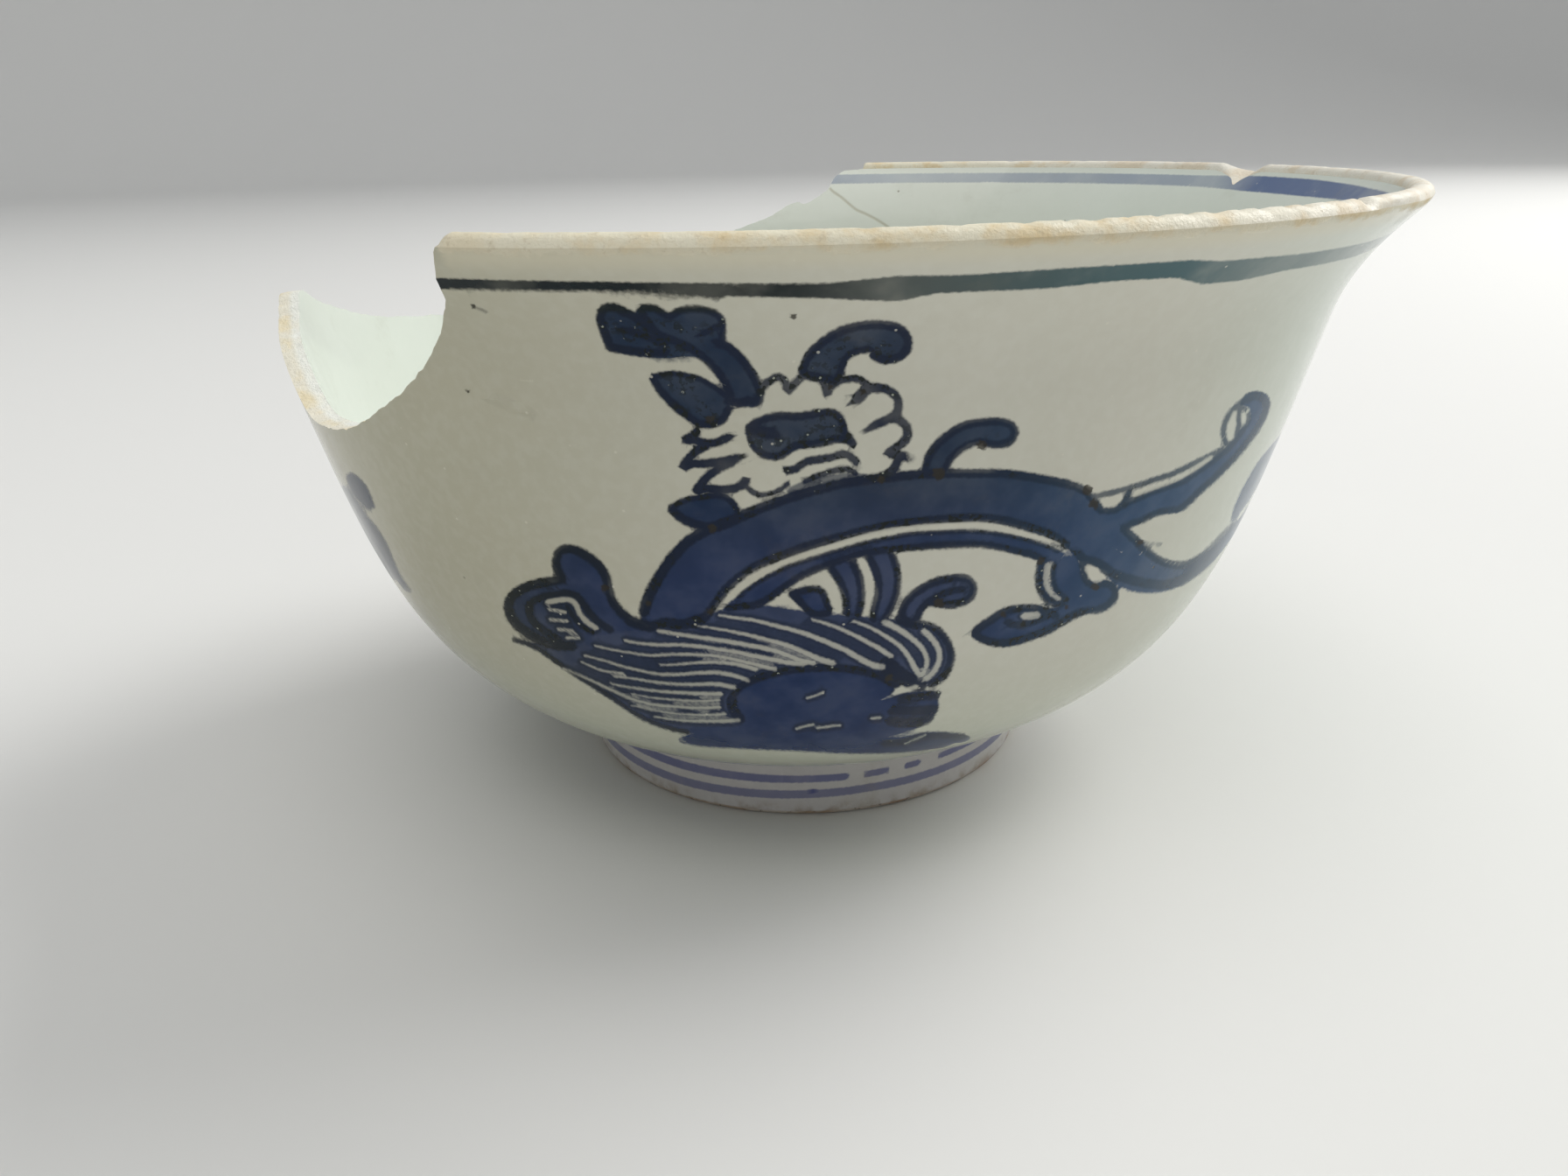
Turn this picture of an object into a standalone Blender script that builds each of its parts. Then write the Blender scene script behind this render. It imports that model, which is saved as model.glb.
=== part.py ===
"""A broken porcelain bowl: one turned body with a flared lip and a foot ring.

One side of the wall is broken away down to about two thirds of the height, and the lip
that is left has a notch, a shell-shaped scar and a row of small nibbles.
The bowl stands on its foot ring, with +Z up along the axis it was turned on.
Angles go round that axis, anticlockwise from +X as seen from above, in degrees.
"""

import math

import bmesh
import bpy
from mathutils import Matrix, Vector, noise

# Outside of the bowl, in metres
RIM_RADIUS = 0.0709
BOWL_HEIGHT = 0.0727
LIP_HEIGHT = 0.0132
LIP_FLARE = 0.0078
LIP_SPRING = 0.0080
LIP_ROLL = 0.0022
FOOT_RADIUS = 0.0302
FOOT_HEIGHT = 0.0081
FOOT_TAPER = 0.0004

# Fullness of the belly: how far the curve holds its direction at each end
BELLY_LOW_REACH = 0.0252
BELLY_HIGH_REACH = 0.0300
BELLY_LOW_SLOPE = 21.4
NECK_LEAN = 14.4

# Thickness of the body
WALL_AT_LIP = 0.0020
WALL_AT_FOOT = 0.0042
BASE_THICKNESS = 0.0042
BASE_RECESS = 0.0052
BASE_DOME = 0.0006
FOOT_WIDTH = 0.0034
FOOT_BEVEL = 0.0007
FLOOR_REACH = 0.014

# The axis lies off the middle of the object's box, because one side is missing
AXIS_X = -0.0038
AXIS_Y = 0.0005

# Facets round the bowl and along each stretch of its profile
FACETS_ROUND = 72
BELLY_STEPS = 11
LIP_STEPS = 7
LIP_EDGE_STEPS = 4
FLOOR_STEPS = 4

# The break: angle, and how far it runs below the rim, along the outside of the wall
BREAK_LINE = [
    (248.9, -0.0016),
    (248.2, 0.0006),
    (247.4, 0.0020),
    (246.3, 0.0036),
    (245.7, 0.0055),
    (243.3, 0.0084),
    (240.2, 0.0114),
    (236.4, 0.0143),
    (229.4, 0.0179),
    (223.0, 0.0202),
    (216.3, 0.0211),
    (210.5, 0.0210),
    (205.0, 0.0186),
    (198.8, 0.0154),
    (193.0, 0.0134),
    (187.2, 0.0111),
    (183.4, 0.0129),
    (179.0, 0.0144),
    (170.7, 0.0169),
    (162.8, 0.0184),
    (154.9, 0.0195),
    (145.0, 0.0208),
    (136.0, 0.0212),
    (126.0, 0.0202),
    (116.0, 0.0174),
    (107.0, 0.0139),
    (100.2, 0.0114),
    (94.6, 0.0095),
    (89.9, 0.0071),
    (88.5, 0.0074),
    (85.0, 0.0052),
    (83.6, 0.0028),
    (81.6, 0.0020),
    (80.2, 0.0019),
    (79.2, -0.0016),
]
BREAK_STATION_DEG = 1.5
BREAK_TILT = 24.0
BREAK_REACH = 0.0135
BREAK_RIPPLE = 0.00022
BREAK_RIPPLE_SIZE = 0.0028

# How far a cutter runs past what it cuts
CUT_MARGIN = 0.0050

# Notch in the lip: its two ends and its lowest point as angles, its depth at the
# outside, and how steeply its floor falls towards the inside
NOTCH_START = 17.4
NOTCH_BOTTOM = 20.3
NOTCH_END = 25.2
NOTCH_DEPTH = 0.0013
NOTCH_FALL = 21.0

# Shell-shaped scar on the outside of the lip, centred a little below the rim
SCAR_ANGLE = 318.0
SCAR_DROP = 0.0013
SCAR_LENGTH = 0.0110
SCAR_HEIGHT = 0.0030
SCAR_DEPTH = 0.0006
SCAR_BULGE = 0.0018

# Small nibbles along the worn part of the lip: angle, length and depth
NIBBLES = [
    (283.5, 0.0016, 0.00022),
    (288.0, 0.0022, 0.00030),
    (292.5, 0.0014, 0.00022),
    (297.0, 0.0020, 0.00032),
    (301.0, 0.0012, 0.00026),
    (305.5, 0.0018, 0.00034),
    (310.0, 0.0013, 0.00028),
    (312.7, 0.0024, 0.00070),
]

# Roughness of a chip: how far it strays from a smooth shell, and how finely
CHIP_ROUGHNESS = 0.08
CHIP_GRAIN = 1.7

# Porcelain under a clear glaze
GLAZE_COLOUR = (0.74, 0.75, 0.70, 1.0)
GLAZE_ROUGHNESS = 0.12


def clear_scene():
    for old in list(bpy.data.objects):
        bpy.data.objects.remove(old)


def bezier(start, start_handle, end_handle, end, steps):
    """Points of a cubic curve, without its first one."""
    points = []
    for i in range(1, steps + 1):
        t = i / steps
        s = 1.0 - t
        points.append(
            s ** 3 * start
            + 3 * s * s * t * start_handle
            + 3 * s * t * t * end_handle
            + t ** 3 * end
        )
    return points


def polar(length, degrees):
    """A step of that length in the profile's plane, by its angle above level."""
    angle = math.radians(degrees)
    return Vector((length * math.cos(angle), length * math.sin(angle)))


def outer_wall():
    """Outside of the wall as (radius, height) points, from the foot ring to the rim."""
    foot_join = Vector((FOOT_RADIUS + FOOT_TAPER, FOOT_HEIGHT))
    neck = Vector((RIM_RADIUS - LIP_FLARE, BOWL_HEIGHT - LIP_HEIGHT))
    rim = Vector((RIM_RADIUS, BOWL_HEIGHT - WALL_AT_LIP / 2))
    up_the_neck = 90.0 - NECK_LEAN
    belly = bezier(
        foot_join,
        foot_join + polar(BELLY_LOW_REACH, BELLY_LOW_SLOPE),
        neck - polar(BELLY_HIGH_REACH, up_the_neck),
        neck,
        BELLY_STEPS,
    )
    lip = bezier(
        neck,
        neck + polar(LIP_SPRING, up_the_neck),
        rim - Vector((0.0, LIP_ROLL - WALL_AT_LIP / 2)),
        rim,
        LIP_STEPS,
    )
    return [foot_join] + belly + lip


def wall_thickness(share):
    """Thickness at a share of the way from the foot ring, 0, to the rim, 1."""
    thinning = (1.0 - share) ** 2
    return WALL_AT_LIP + (WALL_AT_FOOT - WALL_AT_LIP) * thinning


def inner_wall(outside):
    """Inside of the wall, from the rim down, a wall's thickness in from the outside."""
    last = len(outside) - 1
    inside = [outside[last] - Vector((WALL_AT_LIP, 0.0))]
    for i in range(last - 1, 0, -1):
        along = (outside[i + 1] - outside[i - 1]).normalized()
        inwards = Vector((-along.y, along.x))
        inside.append(outside[i] + inwards * wall_thickness(i / last))
    return inside


def lip_edge(outside_end, inside_end):
    """Half-round edge over the top of the lip, between its two faces."""
    centre = (outside_end + inside_end) / 2
    start = outside_end - centre
    rise = Vector((0.0, BOWL_HEIGHT - centre.y))
    turns = [math.pi * i / LIP_EDGE_STEPS for i in range(1, LIP_EDGE_STEPS)]
    return [centre + start * math.cos(turn) + rise * math.sin(turn) for turn in turns]


def foot_profile():
    """Underside, from the axis out to the foot ring's outer edge."""
    inner_radius = FOOT_RADIUS - FOOT_WIDTH
    half_way = 0.5
    return [
        Vector((0.0, BASE_RECESS - BASE_DOME)),
        Vector((inner_radius * half_way, BASE_RECESS - BASE_DOME * (1 - half_way ** 2))),
        Vector((inner_radius - FOOT_BEVEL, BASE_RECESS)),
        Vector((inner_radius, BASE_RECESS - FOOT_BEVEL)),
        Vector((inner_radius + FOOT_BEVEL, 0.0)),
        Vector((FOOT_RADIUS - FOOT_BEVEL, 0.0)),
        Vector((FOOT_RADIUS, FOOT_BEVEL)),
    ]


def floor_profile(wall_end, wall_before):
    """Inside of the bottom, from the end of the wall to the axis."""
    middle = Vector((0.0, BASE_RECESS + BASE_THICKNESS))
    along = (wall_end - wall_before).normalized()
    return bezier(
        wall_end,
        wall_end + along * FLOOR_REACH,
        middle + Vector((FLOOR_REACH, 0.0)),
        middle,
        FLOOR_STEPS,
    )


def bowl_profile():
    outside = outer_wall()
    inside = inner_wall(outside)
    edge = lip_edge(outside[-1], inside[0])
    bottom = floor_profile(inside[-1], inside[-2])
    return foot_profile() + outside + edge + inside + bottom


def add_object(name, bm):
    mesh = bpy.data.meshes.new(name)
    bm.to_mesh(mesh)
    bm.free()
    piece = bpy.data.objects.new(name, mesh)
    bpy.context.scene.collection.objects.link(piece)
    return piece


def turned_body():
    """The whole bowl as it left the wheel."""
    bm = bmesh.new()
    points = [bm.verts.new((p.x, 0.0, p.y)) for p in bowl_profile()]
    edges = [bm.edges.new(pair) for pair in zip(points, points[1:])]
    bmesh.ops.spin(
        bm,
        geom=points + edges,
        cent=(0, 0, 0),
        axis=(0, 0, 1),
        angle=math.tau,
        steps=FACETS_ROUND,
        use_merge=True,
    )
    bmesh.ops.remove_doubles(bm, verts=bm.verts, dist=1e-6)
    bmesh.ops.recalc_face_normals(bm, faces=bm.faces)
    body = add_object("bowl", bm)
    body.data.shade_smooth()
    return body


def spline(values, i, t):
    """Smooth curve through values, between number i and the next one."""
    a = values[max(i - 1, 0)]
    b = values[i]
    c = values[i + 1]
    d = values[min(i + 2, len(values) - 1)]
    pull = (c - a) * t + (2 * a - 5 * b + 4 * c - d) * t * t
    pull += (3 * b - a - 3 * c + d) * t ** 3
    return b + pull / 2


def break_stations():
    """The break line as (angle, drop below the rim), close together and a little uneven."""
    angles = [angle for angle, drop in BREAK_LINE]
    drops = [drop for angle, drop in BREAK_LINE]
    stations = []
    for i in range(len(BREAK_LINE) - 1):
        run = abs(angles[i + 1] - angles[i])
        steps = max(2, math.ceil(run / BREAK_STATION_DEG))
        for step in range(steps):
            t = step / steps
            angle = angles[i] + (angles[i + 1] - angles[i]) * t
            stations.append((angle, spline(drops, i, t)))
    stations.append(BREAK_LINE[-1])
    return [roughened(angle, drop) for angle, drop in stations]


def roughened(angle, drop):
    along = RIM_RADIUS * math.radians(angle) / BREAK_RIPPLE_SIZE
    ripple = noise.noise(Vector((along, drop / BREAK_RIPPLE_SIZE, 0.0)))
    return angle, drop + BREAK_RIPPLE * ripple


def outer_radius(height, wall):
    """Radius of the outside at a height, read from the profile's own points."""
    for low, high in zip(wall, wall[1:]):
        if height <= high.y:
            share = (height - low.y) / (high.y - low.y)
            return low.x + (high.x - low.x) * share
    return wall[-1].x


def break_cutter():
    """A ring segment over the missing side, whose underside is the broken edge."""
    wall = outer_wall()
    top = BOWL_HEIGHT + CUT_MARGIN
    out = RIM_RADIUS + CUT_MARGIN
    into = RIM_RADIUS - LIP_FLARE - BREAK_REACH
    slope = math.tan(math.radians(BREAK_TILT))
    bm = bmesh.new()
    rings = []
    for angle, drop in break_stations():
        height = BOWL_HEIGHT - drop
        face = outer_radius(height, wall)
        corners = [
            (into, height + (face - into) * slope),
            (out, height - (out - face) * slope),
            (out, top),
            (into, top + (face - into) * slope),
        ]
        turn = Matrix.Rotation(math.radians(angle), 4, "Z")
        rings.append([bm.verts.new(turn @ Vector((r, 0.0, z))) for r, z in corners])
    for ring, following in zip(rings, rings[1:]):
        for i in range(4):
            j = (i + 1) % 4
            bm.faces.new((ring[i], ring[j], following[j], following[i]))
    bm.faces.new(rings[0])
    bm.faces.new(rings[-1])
    bmesh.ops.recalc_face_normals(bm, faces=bm.faces)
    return add_object("missing_side", bm)


def chip_cutter(name, angle, radius, height, size):
    """A rough ball, flattened to size (outwards, along the lip, up), set in the lip."""
    bm = bmesh.new()
    bmesh.ops.create_icosphere(bm, subdivisions=2, radius=1.0)
    own_grain = Vector((angle, 0.0, 0.0))
    for vert in bm.verts:
        stray = noise.noise(vert.co * CHIP_GRAIN + own_grain)
        vert.co *= 1.0 + CHIP_ROUGHNESS * stray
    place = (
        Matrix.Rotation(math.radians(angle), 4, "Z")
        @ Matrix.Translation((radius, 0.0, height))
        @ Matrix.Diagonal((*size, 1.0))
    )
    bmesh.ops.transform(bm, matrix=place, verts=bm.verts)
    return add_object(name, bm)


def notch_cutter():
    """A wedge across the lip, deeper towards the inside."""
    fall = math.tan(math.radians(NOTCH_FALL))
    bm = bmesh.new()
    ends = []
    for radius in (RIM_RADIUS - LIP_FLARE, RIM_RADIUS + CUT_MARGIN):
        outline = [
            (NOTCH_START, 0.0),
            (NOTCH_BOTTOM, NOTCH_DEPTH + (RIM_RADIUS - radius) * fall),
            (NOTCH_END, 0.0),
            (NOTCH_END, -CUT_MARGIN),
            (NOTCH_START, -CUT_MARGIN),
        ]
        ring = []
        for angle, drop in outline:
            turn = Matrix.Rotation(math.radians(angle), 4, "Z")
            ring.append(bm.verts.new(turn @ Vector((radius, 0.0, BOWL_HEIGHT - drop))))
        ends.append(ring)
    inner, outer = ends
    bm.faces.new(inner)
    bm.faces.new(outer)
    for i in range(len(inner)):
        bm.faces.new((inner[i - 1], inner[i], outer[i], outer[i - 1]))
    bmesh.ops.recalc_face_normals(bm, faces=bm.faces)
    return add_object("lip_notch", bm)


def scar_cutter():
    """Takes a shallow shell off the outside of the lip."""
    radius = RIM_RADIUS + SCAR_BULGE - SCAR_DEPTH
    height = BOWL_HEIGHT - SCAR_DROP
    shown_share = math.sqrt(1.0 - (1.0 - SCAR_DEPTH / SCAR_BULGE) ** 2)
    half_length = SCAR_LENGTH / 2 / shown_share
    half_height = SCAR_HEIGHT / 2 / shown_share
    size = (SCAR_BULGE, half_length, half_height)
    return chip_cutter("lip_scar", SCAR_ANGLE, radius, height, size)


def nibble_cutter(number, angle, length, depth):
    """Takes one small nibble out of the top of the lip."""
    half = length / 2
    radius = RIM_RADIUS - WALL_AT_LIP / 2
    height = BOWL_HEIGHT + half - depth
    size = (WALL_AT_LIP, half, half)
    return chip_cutter(f"lip_nibble_{number}", angle, radius, height, size)


def cut(body, cutter):
    cutter.location = body.location
    cutter.hide_render = True
    cutter.display_type = "WIRE"
    step = body.modifiers.new(cutter.name, "BOOLEAN")
    step.object = cutter
    step.operation = "DIFFERENCE"
    step.solver = "EXACT"


def glazed_porcelain():
    material = bpy.data.materials.new("glazed_porcelain")
    material.use_nodes = True
    shader = material.node_tree.nodes["Principled BSDF"]
    shader.inputs["Base Color"].default_value = GLAZE_COLOUR
    shader.inputs["Roughness"].default_value = GLAZE_ROUGHNESS
    shader.inputs["Metallic"].default_value = 0.0
    return material


def main():
    clear_scene()
    body = turned_body()
    body.location = (AXIS_X, AXIS_Y, 0.0)
    body.data.materials.append(glazed_porcelain())
    cut(body, break_cutter())
    cut(body, notch_cutter())
    cut(body, scar_cutter())
    for number, (angle, length, depth) in enumerate(NIBBLES, start=1):
        cut(body, nibble_cutter(number, angle, length, depth))


main()
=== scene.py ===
"""Looks of the broken porcelain bowl: its glaze, cobalt painting, worn lip and raw break.

The bowl is one mesh, made of two glazed skins, the edge between them and the foot.
Angles go round the axis that the bowl was turned on, anticlockwise from +X as seen
from above, in degrees. Heights are above the foot ring's standing plane, in metres.
A painted line or field is a short list of points as the camera sees them, and it is
laid on the bowl from there. Its places and widths are in picture steps, the pixels of
the full picture.
"""

import math

import bpy
import numpy as np
from mathutils import Matrix, Vector, noise
from mathutils.geometry import delaunay_2d_cdt

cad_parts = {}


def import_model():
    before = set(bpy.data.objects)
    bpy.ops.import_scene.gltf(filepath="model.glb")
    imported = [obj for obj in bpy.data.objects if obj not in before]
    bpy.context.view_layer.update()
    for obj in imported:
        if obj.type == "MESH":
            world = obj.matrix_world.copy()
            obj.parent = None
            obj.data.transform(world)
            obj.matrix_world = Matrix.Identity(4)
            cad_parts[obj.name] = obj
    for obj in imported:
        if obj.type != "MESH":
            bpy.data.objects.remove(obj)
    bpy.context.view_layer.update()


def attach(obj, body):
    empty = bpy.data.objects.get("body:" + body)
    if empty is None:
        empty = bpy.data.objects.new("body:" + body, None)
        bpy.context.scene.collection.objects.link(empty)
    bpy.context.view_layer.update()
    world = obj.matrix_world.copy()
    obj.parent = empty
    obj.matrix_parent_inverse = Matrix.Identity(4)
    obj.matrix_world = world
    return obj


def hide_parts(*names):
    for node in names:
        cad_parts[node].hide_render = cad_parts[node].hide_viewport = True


# The turned body, with the same sizes as the solid
RIM_RADIUS = 0.0709
BOWL_HEIGHT = 0.0727
LIP_HEIGHT = 0.0132
LIP_FLARE = 0.0078
LIP_SPRING = 0.0080
LIP_ROLL = 0.0022
FOOT_RADIUS = 0.0302
FOOT_HEIGHT = 0.0081
FOOT_TAPER = 0.0004
BELLY_LOW_REACH = 0.0252
BELLY_HIGH_REACH = 0.0300
BELLY_LOW_SLOPE = 21.4
NECK_LEAN = 14.4
WALL_AT_LIP = 0.0020
WALL_AT_FOOT = 0.0042
BASE_THICKNESS = 0.0042
BASE_RECESS = 0.0052
BASE_DOME = 0.0006
FOOT_WIDTH = 0.0034
FOOT_BEVEL = 0.0007
FLOOR_REACH = 0.014
AXIS = Vector((-0.0038, 0.0005, 0.0))
BELLY_SHARE = 11 / 18
FLOOR_SHARE = BELLY_SHARE / 11
FOOT_ROUNDING = 0.35

# The break: angle, and how far it runs below the rim, along the outside of the wall
BREAK_LINE = [
    (79.2, -0.0016), (80.2, 0.0019), (81.6, 0.0020), (83.6, 0.0028), (85.0, 0.0052),
    (88.5, 0.0074), (89.9, 0.0071), (94.6, 0.0095), (100.2, 0.0114), (107.0, 0.0139),
    (116.0, 0.0174), (126.0, 0.0202), (136.0, 0.0212), (145.0, 0.0208), (154.9, 0.0195),
    (162.8, 0.0184), (170.7, 0.0169), (179.0, 0.0144), (183.4, 0.0129), (187.2, 0.0111),
    (193.0, 0.0134), (198.8, 0.0154), (205.0, 0.0186), (210.5, 0.0210), (216.3, 0.0211),
    (223.0, 0.0202), (229.4, 0.0179), (236.4, 0.0143), (240.2, 0.0114), (243.3, 0.0084),
    (245.7, 0.0055), (246.3, 0.0036), (247.4, 0.0020), (248.2, 0.0006), (248.9, -0.0016),
]
BREAK_TILT = [(80.0, 24.0), (130.0, 24.0), (178.0, 6.0), (250.0, 6.0)]
BREAK_JAG = 0.00016
BREAK_JAG_SIZE = 0.0011
BREAK_GRAIN = 0.00013
BREAK_GRAIN_SIZE = 0.0008
LIP_GRAIN_SHARE = 0.25
BREAK_START_DROP = 0.001

# The notch: its ends and its lowest point as angles, its depth and its floor's fall
NOTCH = [(17.4, 0.0), (20.3, 0.0013), (25.2, 0.0)]
NOTCH_FALL = 21.0

# Nibbles of the lip: angle, length and depth
NIBBLES = [
    (252.5, 0.0012, 0.00006), (262.0, 0.0016, 0.00004), (274.0, 0.0010, 0.00007),
    (279.5, 0.0013, 0.00008), (283.5, 0.0016, 0.00012), (288.0, 0.0022, 0.00016),
    (292.5, 0.0014, 0.00012), (297.0, 0.0020, 0.00018), (301.0, 0.0012, 0.00014),
    (305.5, 0.0018, 0.00019), (310.0, 0.0013, 0.00015), (312.7, 0.0024, 0.00056),
    (327.0, 0.0015, 0.00009), (338.0, 0.0011, 0.00007), (350.5, 0.0016, 0.00010),
    (6.0, 0.0012, 0.00007), (33.0, 0.0014, 0.00008), (47.0, 0.0011, 0.00006),
    (58.0, 0.0017, 0.00009), (68.5, 0.0012, 0.00007),
    (286.2, 0.0009, 0.00012), (290.4, 0.0008, 0.00010), (294.9, 0.0011, 0.00016),
    (299.2, 0.0008, 0.00014), (303.4, 0.0010, 0.00018), (307.9, 0.0009, 0.00016),
    (315.6, 0.0011, 0.00020), (318.9, 0.0012, 0.00014),
]
LIP_WEAR = 0.00006
LIP_WEAR_SIZE = 0.0012

# Fineness of the mesh
PROFILE_STEPS = 90
EDGE_STEP = 0.00048
EDGE_ROWS = 6
EDGE_SAMPLES = 14400
RISE_ROUNDS = 3
OUTSIDE_STEP = 0.00115
INSIDE_STEP = 0.00145
FOOT_SEGMENTS = 240
FLOOR_SEGMENTS = 144
FLOOR_RINGS = 14
FLOOR_RADIUS = 0.0240
BASE_RINGS = 12
FOOT_ROW = 0.00026
ROW_RATIO = 0.87
CLEARANCE = 0.62
DETAIL_GAP = 0.00018
OUTER_DETAIL_GAP = 0.00020
OUTER_DETAIL_OFF = 3.5
CRACK_SAMPLES = 60
BESIDE_CRACK = 0.0003
SEAM = 60.0

# The skins are unrolled from a cylinder of this radius for meshing, in millimetres
FLAT_RADIUS = 0.060
MILLIMETRES = 1000.0


def bezier(start, start_handle, end_handle, end, steps):
    t = np.linspace(0.0, 1.0, steps + 1)[:, None]
    s = 1.0 - t
    return s ** 3 * start + 3 * s * s * t * start_handle + 3 * s * t * t * end_handle + t ** 3 * end


def polar(length, degrees):
    angle = math.radians(degrees)
    return np.array((length * math.cos(angle), length * math.sin(angle)))


def outer_profile():
    """Outside of the wall as (radius, height) points, and each one's share of the way up."""
    foot_join = np.array((FOOT_RADIUS + FOOT_TAPER, FOOT_HEIGHT))
    neck = np.array((RIM_RADIUS - LIP_FLARE, BOWL_HEIGHT - LIP_HEIGHT))
    rim = np.array((RIM_RADIUS, BOWL_HEIGHT - WALL_AT_LIP / 2))
    up_the_neck = 90.0 - NECK_LEAN
    belly = bezier(
        foot_join,
        foot_join + polar(BELLY_LOW_REACH, BELLY_LOW_SLOPE),
        neck - polar(BELLY_HIGH_REACH, up_the_neck),
        neck,
        PROFILE_STEPS,
    )
    lip = bezier(
        neck,
        neck + polar(LIP_SPRING, up_the_neck),
        rim - np.array((0.0, LIP_ROLL - WALL_AT_LIP / 2)),
        rim,
        PROFILE_STEPS,
    )
    low_shares = np.linspace(0.0, BELLY_SHARE, PROFILE_STEPS + 1)
    high_shares = np.linspace(BELLY_SHARE, 1.0, PROFILE_STEPS + 1)
    points = np.vstack((belly, lip[1:]))
    shares = np.concatenate((low_shares, high_shares[1:]))
    return points, shares


def normals_along(points):
    """Unit normals of a profile, to the right of its direction."""
    along = np.gradient(points, axis=0)
    along /= np.linalg.norm(along, axis=1)[:, None]
    return np.column_stack((along[:, 1], -along[:, 0]))


def inner_profile(outside, shares):
    """Inside of the bowl from the axis out and up to the rim."""
    thickness = WALL_AT_LIP + (WALL_AT_FOOT - WALL_AT_LIP) * (1.0 - shares) ** 2
    wall = outside - normals_along(outside) * thickness[:, None]
    wall = wall[shares > FLOOR_SHARE]
    wall[-1] = outside[-1] - np.array((WALL_AT_LIP, 0.0))
    along = wall[0] - wall[1]
    along /= np.linalg.norm(along)
    middle = np.array((0.0, BASE_RECESS + BASE_THICKNESS))
    floor = bezier(
        middle,
        middle + np.array((FLOOR_REACH, 0.0)),
        wall[0] + along * FLOOR_REACH,
        wall[0],
        PROFILE_STEPS,
    )
    return np.vstack((floor[:-1], wall))


def turned_points(radii, angles, heights):
    """Points at angles round the axis, from their distances to it and their heights."""
    turn = np.radians(angles)
    return np.column_stack((radii * np.cos(turn), radii * np.sin(turn), heights))


class Skin:
    """A turned surface: a profile, measured by the length along it."""

    def __init__(self, profile, outward):
        self.r = profile[:, 0]
        self.z = profile[:, 1]
        pieces = np.linalg.norm(np.diff(profile, axis=0), axis=1)
        self.s = np.concatenate(([0.0], np.cumsum(pieces)))
        normals = normals_along(profile) * outward
        self.nr = normals[:, 0]
        self.nz = normals[:, 1]

    def length_at(self, height):
        """Length along the profile where its upper part reaches a height."""
        start = int(np.argmin(self.z))
        return np.interp(height, self.z[start:], self.s[start:])

    def length_to(self, radius):
        """Length along the profile where it reaches a radius."""
        return float(np.interp(radius, self.r, self.s))

    def place(self, angles, lengths):
        radii = np.interp(lengths, self.s, self.r)
        return turned_points(radii, angles, np.interp(lengths, self.s, self.z))

    def normals(self, angles, lengths):
        flat = np.interp(lengths, self.s, self.nr)
        found = turned_points(flat, angles, np.interp(lengths, self.s, self.nz))
        return found / np.linalg.norm(found, axis=1)[:, None]


def noise_along(points, size, seed):
    """Smooth noise from -1 to 1 at points, in lumps of that size."""
    shift = Vector((seed, 0.0, 0.0))
    return np.array([noise.noise(Vector(p) / size + shift) for p in points])


def spline(values, knots, where):
    """Catmull-Rom curve through values at knots, read at where."""
    i = np.clip(np.searchsorted(knots, where, side="right") - 1, 0, len(knots) - 2)
    t = (where - knots[i]) / (knots[i + 1] - knots[i])
    a = values[np.maximum(i - 1, 0)]
    b = values[i]
    c = values[i + 1]
    d = values[np.minimum(i + 2, len(values) - 1)]
    pull = (c - a) * t + (2 * a - 5 * b + 4 * c - d) * t * t + (3 * b - a - 3 * c + d) * t ** 3
    return b + pull / 2


def angle_gap(angles, middle):
    """How far angles lie past a middle one, from -180 to 180 degrees."""
    return (np.asarray(angles) - middle + 180.0) % 360.0 - 180.0


def in_break(angles):
    turned = np.asarray(angles) % 360.0
    return (turned > BREAK_LINE[0][0]) & (turned < BREAK_LINE[-1][0])


def break_drop(angles):
    knots = np.array([angle for angle, drop in BREAK_LINE])
    drops = np.array([drop for angle, drop in BREAK_LINE])
    return spline(drops, knots, np.clip(np.asarray(angles) % 360.0, knots[0], knots[-1]))


def lip_drop(angles):
    """How far the worn and chipped lip lies below the rim's full height."""
    drop = np.zeros(len(angles))
    for middle, length, depth in NIBBLES:
        off = np.radians(angle_gap(angles, middle)) * RIM_RADIUS / (length / 2)
        drop = np.maximum(drop, depth * (1.0 - off ** 2))
    knots = [angle for angle, depth in NOTCH]
    depths = [depth for angle, depth in NOTCH]
    notch = np.interp(np.asarray(angles) % 360.0, knots, depths, left=0.0, right=0.0)
    return np.maximum(drop, notch)


def edge_drop(angles):
    return np.where(in_break(angles), np.maximum(break_drop(angles), 0.0), lip_drop(angles))


def edge_stations():
    """Angles at even steps along the whole upper edge, once round from the seam."""
    fine = np.linspace(SEAM, SEAM + 360.0, EDGE_SAMPLES + 1)
    drops = edge_drop(fine)
    run = np.hypot(np.diff(np.radians(fine)) * RIM_RADIUS, np.diff(drops))
    length = np.concatenate(([0.0], np.cumsum(run)))
    count = int(length[-1] / EDGE_STEP)
    return np.interp(np.linspace(0.0, length[-1], count + 1), length, fine)


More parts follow.
